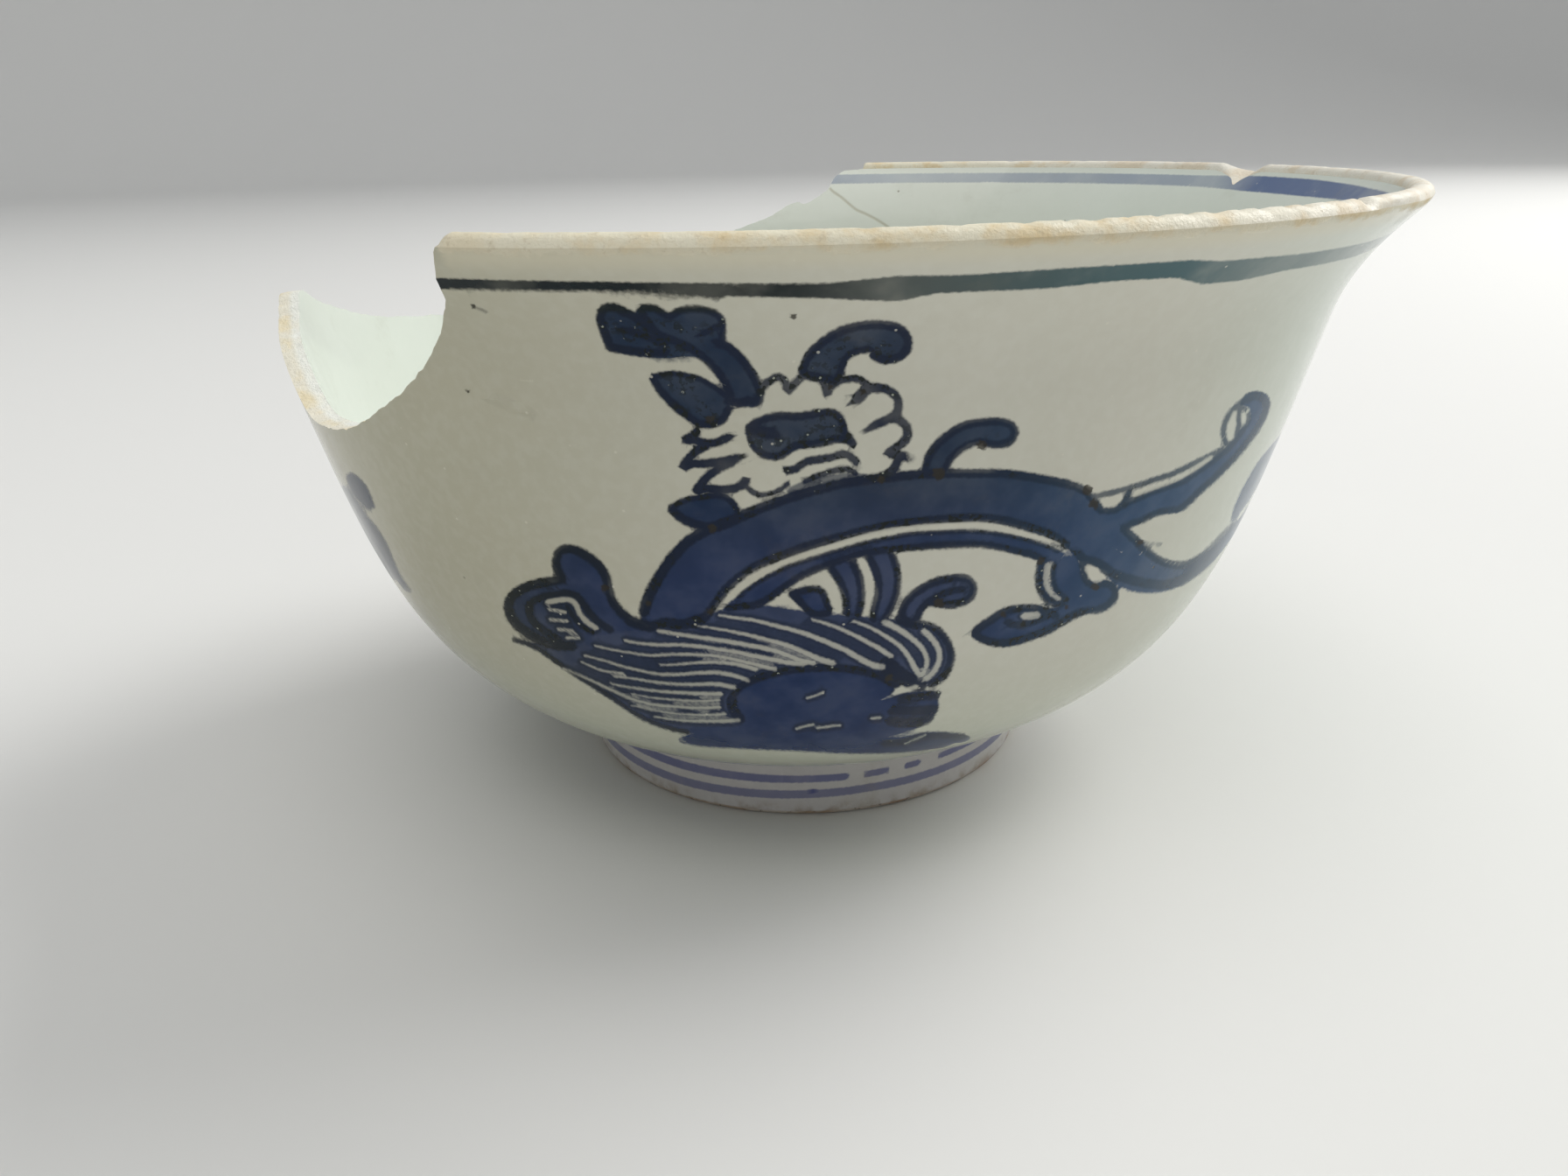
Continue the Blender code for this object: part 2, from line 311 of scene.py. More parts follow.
class Edge:
    """The bowl's upper edge: worn lip, notch and break, from outer to inner skin."""

    def __init__(self, outside, inside):
        self.angles = edge_stations()
        drop = edge_drop(self.angles)
        on_ring = turned_points(RIM_RADIUS, self.angles, drop)
        self.broken = np.clip(in_break(self.angles) * drop / BREAK_START_DROP, 0.0, 1.0)
        jag = noise_along(on_ring, BREAK_JAG_SIZE, seed=3.0)
        jag = jag + 0.5 * noise_along(on_ring, BREAK_JAG_SIZE / 3, seed=8.0)
        wear = np.abs(noise_along(on_ring, LIP_WEAR_SIZE, seed=5.0))
        drop = drop + BREAK_JAG * jag * self.broken + LIP_WEAR * wear * (1.0 - self.broken)
        drop = np.maximum(drop, 0.0)
        half = WALL_AT_LIP / 2
        outer_height = BOWL_HEIGHT - np.maximum(drop, half)
        self.outer = outside.length_at(outer_height)
        self.crown = np.maximum(half - drop, 0.0)
        turned = self.angles % 360.0
        notched = np.interp(turned, [p[0] for p in NOTCH], [0, 1, 0], left=0, right=0)
        tilt = np.interp(turned, [p[0] for p in BREAK_TILT], [p[1] for p in BREAK_TILT])
        rise = self.broken * np.tan(np.radians(tilt))
        rise = rise - notched * math.tan(math.radians(NOTCH_FALL))
        outer_radius = np.interp(self.outer, outside.s, outside.r)
        inner_height = outer_height
        for attempt in range(RISE_ROUNDS):
            inner_radius = np.interp(inside.length_at(inner_height), inside.s, inside.r)
            risen = outer_height + (outer_radius - inner_radius) * rise
            inner_height = np.minimum(risen, BOWL_HEIGHT - half)
        self.inner = inside.length_at(inner_height)
        for ends in (self.outer, self.inner, self.crown, self.broken):
            ends[-1] = ends[0]


def edge_grid(edge, outside, inside):
    """Rows of points over the edge, between its outer and inner line."""
    start = outside.place(edge.angles, edge.outer)[:-1]
    end = inside.place(edge.angles, edge.inner)[:-1]
    crown = edge.crown[:-1]
    broken = edge.broken[:-1]
    rows = []
    for row in range(1, EDGE_ROWS):
        turn = math.pi * row / EDGE_ROWS
        points = start + (end - start) * (1.0 - math.cos(turn)) / 2
        points[:, 2] += crown * math.sin(turn)
        grain = noise_along(points, BREAK_GRAIN_SIZE, seed=20.0)
        grain = grain + 0.6 * noise_along(points, BREAK_GRAIN_SIZE * 3, seed=30.0)
        shown = LIP_GRAIN_SHARE + (1.0 - LIP_GRAIN_SHARE) * broken
        points[:, 2] += BREAK_GRAIN * grain * shown * math.sin(turn)
        points[:, 2] = np.minimum(points[:, 2], BOWL_HEIGHT)
        rows.append(points)
    return rows


def background_points(skin, low, top_angles, top_lengths, step):
    """Evenly spaced (angle, length) points over a skin, clear of its borders."""
    found = []
    for row, length in enumerate(np.arange(low + step, top_lengths.max(), step * ROW_RATIO)):
        radius = np.interp(length, skin.s, skin.r)
        count = int(math.tau * radius / step)
        pitch = 360.0 / count
        angles = SEAM + (np.arange(count) + 0.5 + 0.5 * (row % 2)) * pitch
        angles = angles[angles < SEAM + 360.0 - pitch / 3]
        limit = np.interp(angles, top_angles, top_lengths) - step / 2
        angles = angles[length < limit]
        found.append(np.column_stack((angles, np.full(len(angles), length))))
    return np.vstack(found)


def spread_out(skin, placed, candidates, gap):
    """The candidates that lie at least a gap from everything placed before them."""
    grid = {}

    def cell_of(point):
        return tuple(int(math.floor(c / gap)) for c in point)

    def is_clear(point):
        x, y, z = cell_of(point)
        for i in (x - 1, x, x + 1):
            for j in (y - 1, y, y + 1):
                for k in (z - 1, z, z + 1):
                    for other in grid.get((i, j, k), ()):
                        if math.dist(other, point) < gap:
                            return False
        return True

    for point in skin.place(placed[:, 0], placed[:, 1]).tolist():
        grid.setdefault(cell_of(point), []).append(point)
    kept = []
    for at, point in zip(candidates, skin.place(candidates[:, 0], candidates[:, 1]).tolist()):
        if is_clear(point):
            grid.setdefault(cell_of(point), []).append(point)
            kept.append(at)
    return np.array(kept).reshape(-1, 2)


def skin_mesh(skin, low, bottom_angles, top_angles, top_lengths, step, details):
    """Covers a skin with triangles, from its bottom ring up to its broken edge.

    Gives (angle, length) of each point, the triangles, and the numbers of the points
    on the bottom ring and along the edge. Details are rows of extra points, the first
    rows kept before the later ones.
    """
    side = np.arange(low + step, top_lengths[0] - step / 2, step)
    bottom = np.column_stack((bottom_angles, np.full(len(bottom_angles), low)))
    right = np.column_stack((np.full(len(side), SEAM + 360.0), side))
    top = np.column_stack((top_angles, top_lengths))[::-1]
    left = np.column_stack((np.full(len(side), SEAM), side))[::-1]
    border = np.vstack((bottom, right, top, left))
    inner = [np.zeros((0, 2))]
    for rows, gap in details:
        limit = np.interp(rows[:, 0], top_angles, top_lengths)
        rows = rows[(rows[:, 1] < limit - gap) & (rows[:, 1] > low + gap)]
        placed = np.vstack([border] + inner)
        inner.append(spread_out(skin, placed, rows, gap))
    ground = background_points(skin, low, top_angles, top_lengths, step)
    inner.append(spread_out(skin, np.vstack([border] + inner), ground, step * CLEARANCE))
    points = np.vstack([border] + inner)
    flat = np.column_stack((np.radians(points[:, 0]) * FLAT_RADIUS, points[:, 1])) * MILLIMETRES
    loop = list(range(len(border)))
    found = delaunay_2d_cdt([Vector(p) for p in flat.tolist()], [], [loop], 1, 1e-6)
    triangles = [tuple(face) for face in found[2]]
    source = [origins[0] for origins in found[3]]
    seam_pairs = {len(bottom) - 1: 0}
    first_right = len(bottom)
    first_top = first_right + len(right)
    first_left = first_top + len(top)
    for i in range(len(right)):
        seam_pairs[first_right + i] = len(border) - 1 - i
    seam_pairs[first_top] = first_left - 1
    merged = [seam_pairs.get(number, number) for number in source]
    triangles = [tuple(merged[i] for i in face) for face in triangles]
    bottom_ring = list(range(len(bottom) - 1))
    edge_line = list(range(first_left - 1, first_top, -1))
    return points, triangles, bottom_ring, edge_line


def evenly_round(segments):
    """Angles at even steps once round from the seam, with the seam at both ends."""
    return SEAM + np.arange(segments + 1) * 360.0 / segments


def ring_rows(profile, segments):
    """Rings of points round the axis, one for each (radius, height)."""
    angles = evenly_round(segments)[:-1]
    return [turned_points(r, angles, np.full(segments, z)) for r, z in profile]


def foot_profile():
    """Foot ring and underside, from the wall down and in to the axis, without both ends."""
    inner_radius = FOOT_RADIUS - FOOT_WIDTH
    heights = np.arange(FOOT_HEIGHT - FOOT_ROW, FOOT_BEVEL, -FOOT_ROW)
    taper = FOOT_TAPER * (heights - FOOT_BEVEL) / (FOOT_HEIGHT - FOOT_BEVEL)
    outside = [(FOOT_RADIUS + t, h) for t, h in zip(taper, heights)]
    corners = [
        (FOOT_RADIUS, FOOT_BEVEL),
        (FOOT_RADIUS - FOOT_BEVEL * FOOT_ROUNDING, FOOT_BEVEL * FOOT_ROUNDING),
        (FOOT_RADIUS - FOOT_BEVEL, 0.0),
        (FOOT_RADIUS - FOOT_WIDTH / 2, 0.0),
        (inner_radius + FOOT_BEVEL, 0.0),
        (inner_radius + FOOT_BEVEL * FOOT_ROUNDING, FOOT_BEVEL * 0.8),
    ]
    inside_heights = np.arange(FOOT_BEVEL * 2, BASE_RECESS - FOOT_BEVEL, FOOT_ROW * 2)
    inside = [(inner_radius, h) for h in inside_heights]
    hollow = [(inner_radius - FOOT_BEVEL * 0.3, BASE_RECESS - FOOT_BEVEL * 0.3)]
    base = []
    for share in np.linspace(0.96, 0.05, BASE_RINGS):
        height = BASE_RECESS - BASE_DOME * (1.0 - share ** 2)
        base.append(((inner_radius - FOOT_BEVEL) * share, height))
    return outside, corners, inside + hollow + base


class Shell:
    """Collects the pieces of the bowl's surface into one mesh."""

    def __init__(self):
        self.points = []
        self.normals = []
        self.layers = {name: [] for name in PAINT_LAYERS}
        self.count = 0
        self.faces = []
        self.slots = []
        self.groups = []

    def add_points(self, points, layers, normals=None):
        """Adds points with what is painted on them, and gives their numbers."""
        numbers = range(self.count, self.count + len(points))
        self.points.append(points)
        self.normals.append(np.zeros_like(points) if normals is None else normals)
        for name in PAINT_LAYERS:
            self.layers[name].append(layers[name])
        self.count += len(points)
        return numbers

    def add_faces(self, faces, slot, group):
        self.faces.extend(faces)
        self.slots.extend([slot] * len(faces))
        self.groups.extend([group] * len(faces))


def ring_faces(upper, lower):
    """Quads between two closed rings of point numbers, seen with the upper one on top."""
    count = len(upper)
    return [
        (lower[k], lower[(k + 1) % count], upper[(k + 1) % count], upper[k])
        for k in range(count)
    ]


def fan_faces(ring, middle):
    """Triangles from a closed ring of point numbers in to a middle point."""
    return [(ring[k], ring[(k + 1) % len(ring)], middle) for k in range(len(ring))]


# The camera that the painted points are seen from, in the bowl's own axes
PHOTO_SIZE = (1792, 1344)
FOCAL_PIXELS = 1350.0
EYE = np.array((0.0, -0.1555, 0.0796))
EYE_YAW = -0.017
EYE_PITCH = -0.3749
EYE_ROLL = -0.0246
SENSOR_WIDTH = 36.0
PIXEL_ON_BOWL = 0.00007
NEAREST_RAY, FARTHEST_RAY = 0.05, 0.24
RAY_SAMPLES = 700


def eye_axes():
    """The camera's right, up and forward directions."""
    forward = np.array((
        math.sin(EYE_YAW) * math.cos(EYE_PITCH),
        math.cos(EYE_YAW) * math.cos(EYE_PITCH),
        math.sin(EYE_PITCH),
    ))
    level = np.array((math.cos(EYE_YAW), -math.sin(EYE_YAW), 0.0))
    upright = np.cross(level, forward)
    right = math.cos(EYE_ROLL) * level + math.sin(EYE_ROLL) * upright
    up = math.cos(EYE_ROLL) * upright - math.sin(EYE_ROLL) * level
    return right, up, forward


def seen_at(points):
    """Where the camera sees points of the bowl, as picture positions."""
    right, up, forward = eye_axes()
    from_eye = points - EYE
    depth = from_eye @ forward
    x = PHOTO_SIZE[0] / 2 + FOCAL_PIXELS * (from_eye @ right) / depth
    y = PHOTO_SIZE[1] / 2 - FOCAL_PIXELS * (from_eye @ up) / depth
    return np.column_stack((x, y))


def laid_on(skin, seen):
    """(angle, length) on a skin's near side behind each picture position that meets it."""
    right, up, forward = eye_axes()
    x = (seen[:, 0] - PHOTO_SIZE[0] / 2) / FOCAL_PIXELS
    y = (PHOTO_SIZE[1] / 2 - seen[:, 1]) / FOCAL_PIXELS
    rays = forward + x[:, None] * right + y[:, None] * up
    reach = np.linspace(NEAREST_RAY, FARTHEST_RAY, RAY_SAMPLES)
    along = EYE + reach[None, :, None] * rays[:, None, :]
    gap = np.hypot(along[..., 0], along[..., 1]) - np.interp(along[..., 2], skin.z, skin.r)
    inside = (gap < 0) & (along[..., 2] > skin.z[0]) & (along[..., 2] < skin.z[-1])
    hit = inside.any(axis=1)
    first = np.maximum(inside.argmax(axis=1), 1)
    row = np.arange(len(seen))
    before = gap[row, first - 1]
    after = gap[row, first]
    share = np.clip(before / (before - after + 1e-12), 0.0, 1.0)
    t = reach[first - 1] + (reach[first] - reach[first - 1]) * share
    spot = EYE + t[:, None] * rays
    angle = np.degrees(np.arctan2(spot[:, 1], spot[:, 0]))
    angle = (angle - SEAM) % 360.0 + SEAM
    return np.column_stack((angle, skin.length_at(spot[:, 2])))[hit & (before > 0)]


# Painted lines: width in the picture, strength, and points along the brush's path
LINES = {
    # The left horn
    "horn_lobe": (10, 1.0, [(697, 397), (690, 377), (686, 362), (690, 353), (700, 351), (713, 356),
        (728, 364), (742, 375), (753, 384)]),
    "horn_lobe_fold": (8, 0.9, [(710, 377), (726, 380), (742, 386), (758, 393)]),
    "horn_lobe_foot": (9, 1.0, [(697, 397), (709, 399), (722, 401), (742, 403), (760, 403)]),
    "horn_middle": (9, 1.0, [(733, 353), (735, 362), (742, 371), (752, 382)]),
    "horn_top": (8, 0.95, [(733, 352), (746, 352), (756, 357), (766, 362), (774, 356), (790, 353),
        (804, 354), (815, 357), (824, 364), (826, 375), (825, 388)]),
    "horn_knot": (7, 1.0, [(804, 381), (814, 376), (824, 371)]),
    "horn_outer": (10, 1.0, [(820, 392), (832, 396), (842, 405), (852, 416), (860, 428), (866, 440),
        (869, 450), (866, 460)]),
    "horn_inner": (9, 1.0, [(753, 384), (772, 390), (787, 397), (801, 406), (812, 416), (822, 427),
        (829, 438), (834, 450), (838, 460)]),
    "horn_foot": (10, 0.95, [(832, 458), (845, 461), (856, 458), (866, 460)]),
    # The leaf below it
    "leaf_under": (9, 1.0, [(746, 431), (752, 443), (763, 456), (776, 468), (788, 477), (799, 484),
        (814, 485), (826, 479), (832, 469)]),
    "leaf_over": (6, 0.9, [(746, 431), (757, 428), (770, 427), (785, 429), (800, 433), (812, 440),
        (822, 446), (830, 453)]),
    # The frill on the left
    "frill_1": (10, 0.95, [(796, 493), (790, 499), (783, 503), (794, 503), (806, 507), (818, 506),
        (832, 500)]),
    "frill_2": (10, 0.95, [(812, 507), (800, 513), (790, 521), (780, 534), (792, 530), (804, 530),
        (822, 528), (840, 524)]),
    "frill_3": (10, 0.95, [(837, 528), (822, 535), (812, 542), (803, 551), (796, 561), (808, 558),
        (824, 560), (840, 558), (850, 552), (853, 548)]),
    "frill_4": (6, 0.85, [(851, 553), (857, 560), (868, 566), (882, 564), (894, 558), (900, 553)]),
    # The frill over the head
    "frill_5": (9, 0.9, [(869, 446), (877, 437), (889, 431), (897, 435), (900, 447), (907, 440),
        (916, 431)]),
    "frill_6": (8, 0.9, [(940, 436), (943, 444), (945, 451), (952, 441), (964, 434), (980, 433), (992, 440),
        (999, 446)]),
    "frill_7": (13, 0.95, [(990, 443), (986, 450), (979, 456)]),
    "frill_8": (10, 0.95, [(992, 443), (1004, 443), (1015, 446), (1024, 453), (1027, 463), (1023, 474),
        (1011, 481), (1000, 486)]),
    "frill_9": (10, 0.95, [(1018, 478), (1029, 481), (1037, 490), (1036, 501), (1027, 510), (1014, 518),
        (1024, 519), (1034, 522)]),
    "frill_10": (10, 0.9, [(1028, 522), (1024, 531), (1018, 539), (1006, 546)]),
    # The head
    "brow_top": (9, 1.0, [(856, 489), (864, 483), (877, 478), (892, 475), (906, 476), (920, 475),
        (935, 472), (948, 471), (958, 475), (963, 484), (965, 494), (972, 502), (975, 509)]),
    "brow_under": (9, 0.95, [(966, 502), (955, 502), (940, 506), (925, 508), (910, 509), (900, 515),
        (892, 521), (882, 522), (870, 519)]),
    "brow_left": (6, 0.8, [(855, 490), (857, 502), (862, 512), (870, 519)]),
    "brow_eye": (13, 1.0, [(862, 492), (871, 494), (879, 495)]),
    "mouth_upper": (9, 0.95, [(899, 538), (909, 536), (921, 528), (936, 525), (950, 523), (962, 519),
        (973, 522), (979, 529)]),
    "mouth_lower": (7, 0.85, [(920, 550), (935, 544), (950, 539), (966, 536), (977, 540)]),
    # The right horn
    "horn_right_top": (10, 0.95, [(917, 424), (922, 410), (932, 398), (946, 387), (962, 378), (980, 373),
        (997, 371), (1014, 372), (1028, 376), (1036, 384), (1038, 394), (1033, 404), (1022, 410),
        (1009, 411), (998, 406)]),
    "horn_right_under": (8, 0.95, [(994, 399), (981, 401), (969, 407), (963, 416), (960, 427), (953, 436)]),
    "horn_right_foot": (11, 0.95, [(919, 428), (930, 431), (942, 433), (953, 436)]),
    # The small leaf behind the neck
    "neck_leaf_top": (7, 1.0, [(767, 581), (775, 575), (788, 570), (802, 568), (816, 566), (829, 568),
        (838, 575), (843, 584)]),
    "neck_leaf_under": (10, 1.0, [(767, 581), (777, 591), (788, 597), (800, 601), (815, 603), (830, 599),
        (844, 592)]),
    # The curl on the back
    "back_curl_top": (9, 0.9, [(1057, 538), (1061, 523), (1071, 508), (1085, 496), (1098, 488), (1112, 484),
        (1128, 482), (1144, 482), (1156, 486), (1160, 494), (1157, 502), (1149, 507), (1137, 508),
        (1126, 506)]),
    "back_curl_under": (8, 0.9, [(1120, 504), (1108, 508), (1096, 515), (1086, 525), (1080, 537)]),
    # The body
    "back_line": ((13, 9), 1.0, [(736, 699), (742, 680), (751, 663), (763, 644), (775, 630), (787, 618),
        (801, 609), (816, 602), (833, 596), (852, 588), (871, 580), (890, 573), (911, 566), (936, 559),
        (960, 553), (985, 549), (1007, 546), (1030, 544), (1055, 542), (1083, 541), (1110, 541),
        (1140, 541), (1164, 543), (1188, 547), (1209, 551), (1226, 555), (1241, 562), (1250, 572),
        (1258, 583)]),
    "flank_line": (10, 0.85, [(797, 714), (809, 702), (819, 688), (829, 674), (842, 662), (860, 649),
        (880, 640), (901, 632), (930, 622), (960, 614), (990, 606), (1020, 600), (1060, 595), (1083, 593),
        (1104, 592), (1124, 592), (1142, 594), (1160, 598), (1180, 604), (1196, 609), (1208, 615),
        (1220, 624)]),
    "belly_top": (5, 0.75, [(843, 683), (860, 670), (880, 658), (900, 648), (920, 641), (940, 635),
        (960, 629), (980, 623), (1000, 618), (1020, 614), (1042, 610), (1060, 609), (1082, 608),
        (1104, 607), (1122, 608), (1140, 610), (1160, 614), (1180, 619), (1196, 624), (1210, 630)]),
    "belly_under": (8, 0.85, [(832, 695), (845, 693), (860, 692), (872, 688), (884, 680), (898, 670),
        (913, 660), (930, 652), (950, 644), (980, 634), (1000, 630), (1020, 628), (1050, 625), (1080, 623),
        (1110, 622), (1128, 623), (1146, 626), (1162, 630), (1180, 634), (1190, 639)]),
    "body_foot": (12, 0.9, [(720, 709), (733, 714), (746, 716), (760, 712), (780, 714), (800, 708)]),
    # The tail's fork
    "fork_notch": (7, 0.9, [(1258, 583), (1266, 584), (1276, 582), (1284, 575), (1291, 562)]),
    "tail_thin": (6, 0.7, [(1254, 567), (1270, 563), (1290, 558), (1306, 553), (1320, 548), (1336, 543),
        (1350, 537), (1364, 530), (1380, 522), (1396, 514)]),
    "tail_top": (7, 0.8, [(1280, 580), (1292, 573), (1306, 567), (1320, 561), (1336, 556), (1350, 551),
        (1364, 542), (1380, 531), (1394, 520), (1404, 512), (1412, 502), (1418, 494)]),
    "tail_under": (7, 0.85, [(1284, 605), (1292, 599), (1306, 594), (1320, 587), (1336, 583), (1347, 582),
        (1358, 574), (1370, 562), (1384, 550), (1397, 537), (1410, 524), (1424, 507), (1436, 491),
        (1444, 476), (1448, 463)]),
    "tail_cap": (10, 0.75, [(1447, 462), (1444, 455), (1434, 452), (1425, 456)]),
    "tail_loop": (6, 0.8, [(1425, 456), (1415, 463), (1407, 471), (1401, 481), (1398, 493), (1400, 504),
        (1404, 511)]),
    "tail_loop_bar": (6, 0.8, [(1417, 465), (1416, 476), (1416, 487), (1413, 497)]),
    "tail_eye": (5, 0.75, [(1419, 466), (1426, 470), (1427, 480), (1422, 489)]),
    "fork_right": (10, 0.9, [(1284, 604), (1291, 611), (1298, 617), (1305, 625)]),
    "branch_top": (9, 0.8, [(1305, 625), (1313, 632), (1324, 640), (1338, 645), (1352, 646), (1365, 642),
        (1380, 632), (1393, 619), (1406, 605), (1413, 600)]),
    "branch_under": (11, 0.8, [(1262, 650), (1275, 657), (1290, 662), (1306, 666), (1320, 668), (1334, 668),
        (1348, 664), (1362, 656), (1376, 645), (1390, 632)]),
    "fork_left": (10, 0.9, [(1232, 632), (1238, 639), (1248, 641), (1258, 645), (1266, 651)]),
    # The leg
    "leg_back": (12, 0.7, [(1192, 641), (1189, 655), (1189, 668), (1193, 679), (1201, 687), (1212, 689)]),
    "leg_front": (6, 0.85, [(1205, 645), (1203, 658), (1205, 670), (1211, 679), (1220, 686)]),
    "knee": (8, 0.9, [(1236, 636), (1238, 650), (1240, 661), (1246, 668), (1256, 668), (1266, 667),
        (1273, 673), (1274, 682), (1267, 691), (1255, 697), (1243, 698)]),
    "paw_top": (9, 0.95, [(1113, 724), (1121, 716), (1131, 710), (1141, 703), (1151, 698), (1162, 696),
        (1174, 695), (1186, 696), (1197, 699), (1206, 703)]),
    "paw_under": (9, 0.95, [(1113, 724), (1122, 730), (1134, 734), (1148, 735), (1164, 732), (1180, 727),
        (1196, 721), (1210, 713), (1223, 705), (1236, 699)]),
    "paw_fold": (9, 0.85, [(1152, 712), (1162, 714), (1174, 712), (1186, 708), (1196, 704)]),
    # The curl under the belly
    "low_curl_top": (9, 0.9, [(1030, 706), (1033, 692), (1042, 681), (1056, 671), (1072, 664), (1088, 661),
        (1103, 661), (1111, 667), (1112, 677), (1106, 685), (1094, 690), (1079, 691), (1066, 689)]),
    "low_curl_under": (8, 0.9, [(1101, 673), (1088, 675), (1075, 680), (1062, 687), (1053, 696),
        (1047, 707)]),
    "low_curl_foot": (12, 0.95, [(1028, 708), (1038, 712), (1048, 714)]),
    # The fronds
    "frond_1": (9, 0.85, [(948, 648), (957, 660), (964, 674), (967, 688), (967, 702)]),
    "frond_2": (9, 0.85, [(974, 642), (981, 657), (984, 672), (984, 688), (981, 702)]),
    "frond_3": (9, 0.85, [(992, 636), (1000, 650), (1004, 666), (1003, 682), (999, 697), (998, 708)]),
    "frond_4": (8, 0.85, [(1018, 632), (1024, 646), (1026, 662), (1024, 679), (1018, 695), (1010, 709)]),
    "lozenge": (8, 0.95, [(905, 679), (917, 675), (932, 673), (940, 677), (945, 690), (948, 699),
        (938, 702), (926, 700), (918, 692), (910, 683), (905, 679)]),
    # The left fin
    "fin_top": (10, 0.95, [(642, 660), (637, 651), (636, 639), (640, 630), (650, 627), (661, 630),
        (673, 637), (685, 647), (692, 658), (695, 670), (698, 682), (704, 693), (712, 702), (722, 709),
        (734, 714)]),
    "fin_left": (11, 0.95, [(642, 662), (627, 665), (611, 668), (597, 673), (586, 681), (581, 690),
        (583, 702), (589, 712), (599, 721), (611, 729), (624, 734), (638, 738), (655, 738)]),
    "fin_fold": (8, 0.85, [(606, 700), (608, 689), (620, 682), (634, 679), (648, 678), (660, 682),
        (667, 691), (675, 702), (685, 712), (698, 720)]),
    "fin_inner": (9, 0.9, [(604, 692), (606, 704), (614, 715), (627, 724), (640, 732)]),
    "fin_rib": (6, 0.9, [(648, 693), (654, 703), (664, 715), (678, 723)]),
    # The shell
    "shell_rim": (9, 0.85, [(1048, 712), (1060, 715), (1072, 721), (1082, 733), (1087, 748), (1084, 763),
        (1076, 775), (1064, 782)]),
    "shell_mouth": (9, 0.85, [(836, 800), (842, 788), (858, 778), (878, 771), (900, 766), (920, 764),
        (942, 763), (966, 764), (990, 768), (1008, 774)]),
    "shell_mouth_side": (12, 0.9, [(836, 800), (838, 812), (846, 822)]),
    "shell_back": (5, 0.8, [(587, 731), (604, 736), (622, 746), (640, 759), (660, 772), (682, 786),
        (702, 799), (722, 813), (742, 824), (764, 832), (786, 837)]),
    "shell_knot": (18, 0.95, [(1014, 758), (1024, 768), (1036, 776), (1050, 782)]),
    "shell_knot_left": (14, 0.95, [(1012, 760), (1014, 772), (1022, 780)]),
    "spine_1": (10, 0.85, [(1030, 800), (1046, 797), (1060, 795), (1072, 794)]),
    "spine_2": (11, 0.85, [(1020, 812), (1040, 812), (1056, 812), (1068, 811)]),
    "spine_3": (11, 0.85, [(1016, 824), (1034, 826), (1050, 825), (1062, 820)]),
    "base_streak": (7, 0.8, [(1010, 850), (1034, 848), (1056, 843), (1078, 841), (1102, 842)]),
    "nick": (3, 0.35, [(1302, 621), (1314, 621), (1327, 622)]),
    "scratch": (2, 0.35, [(541, 350), (548, 353), (556, 357)]),
}

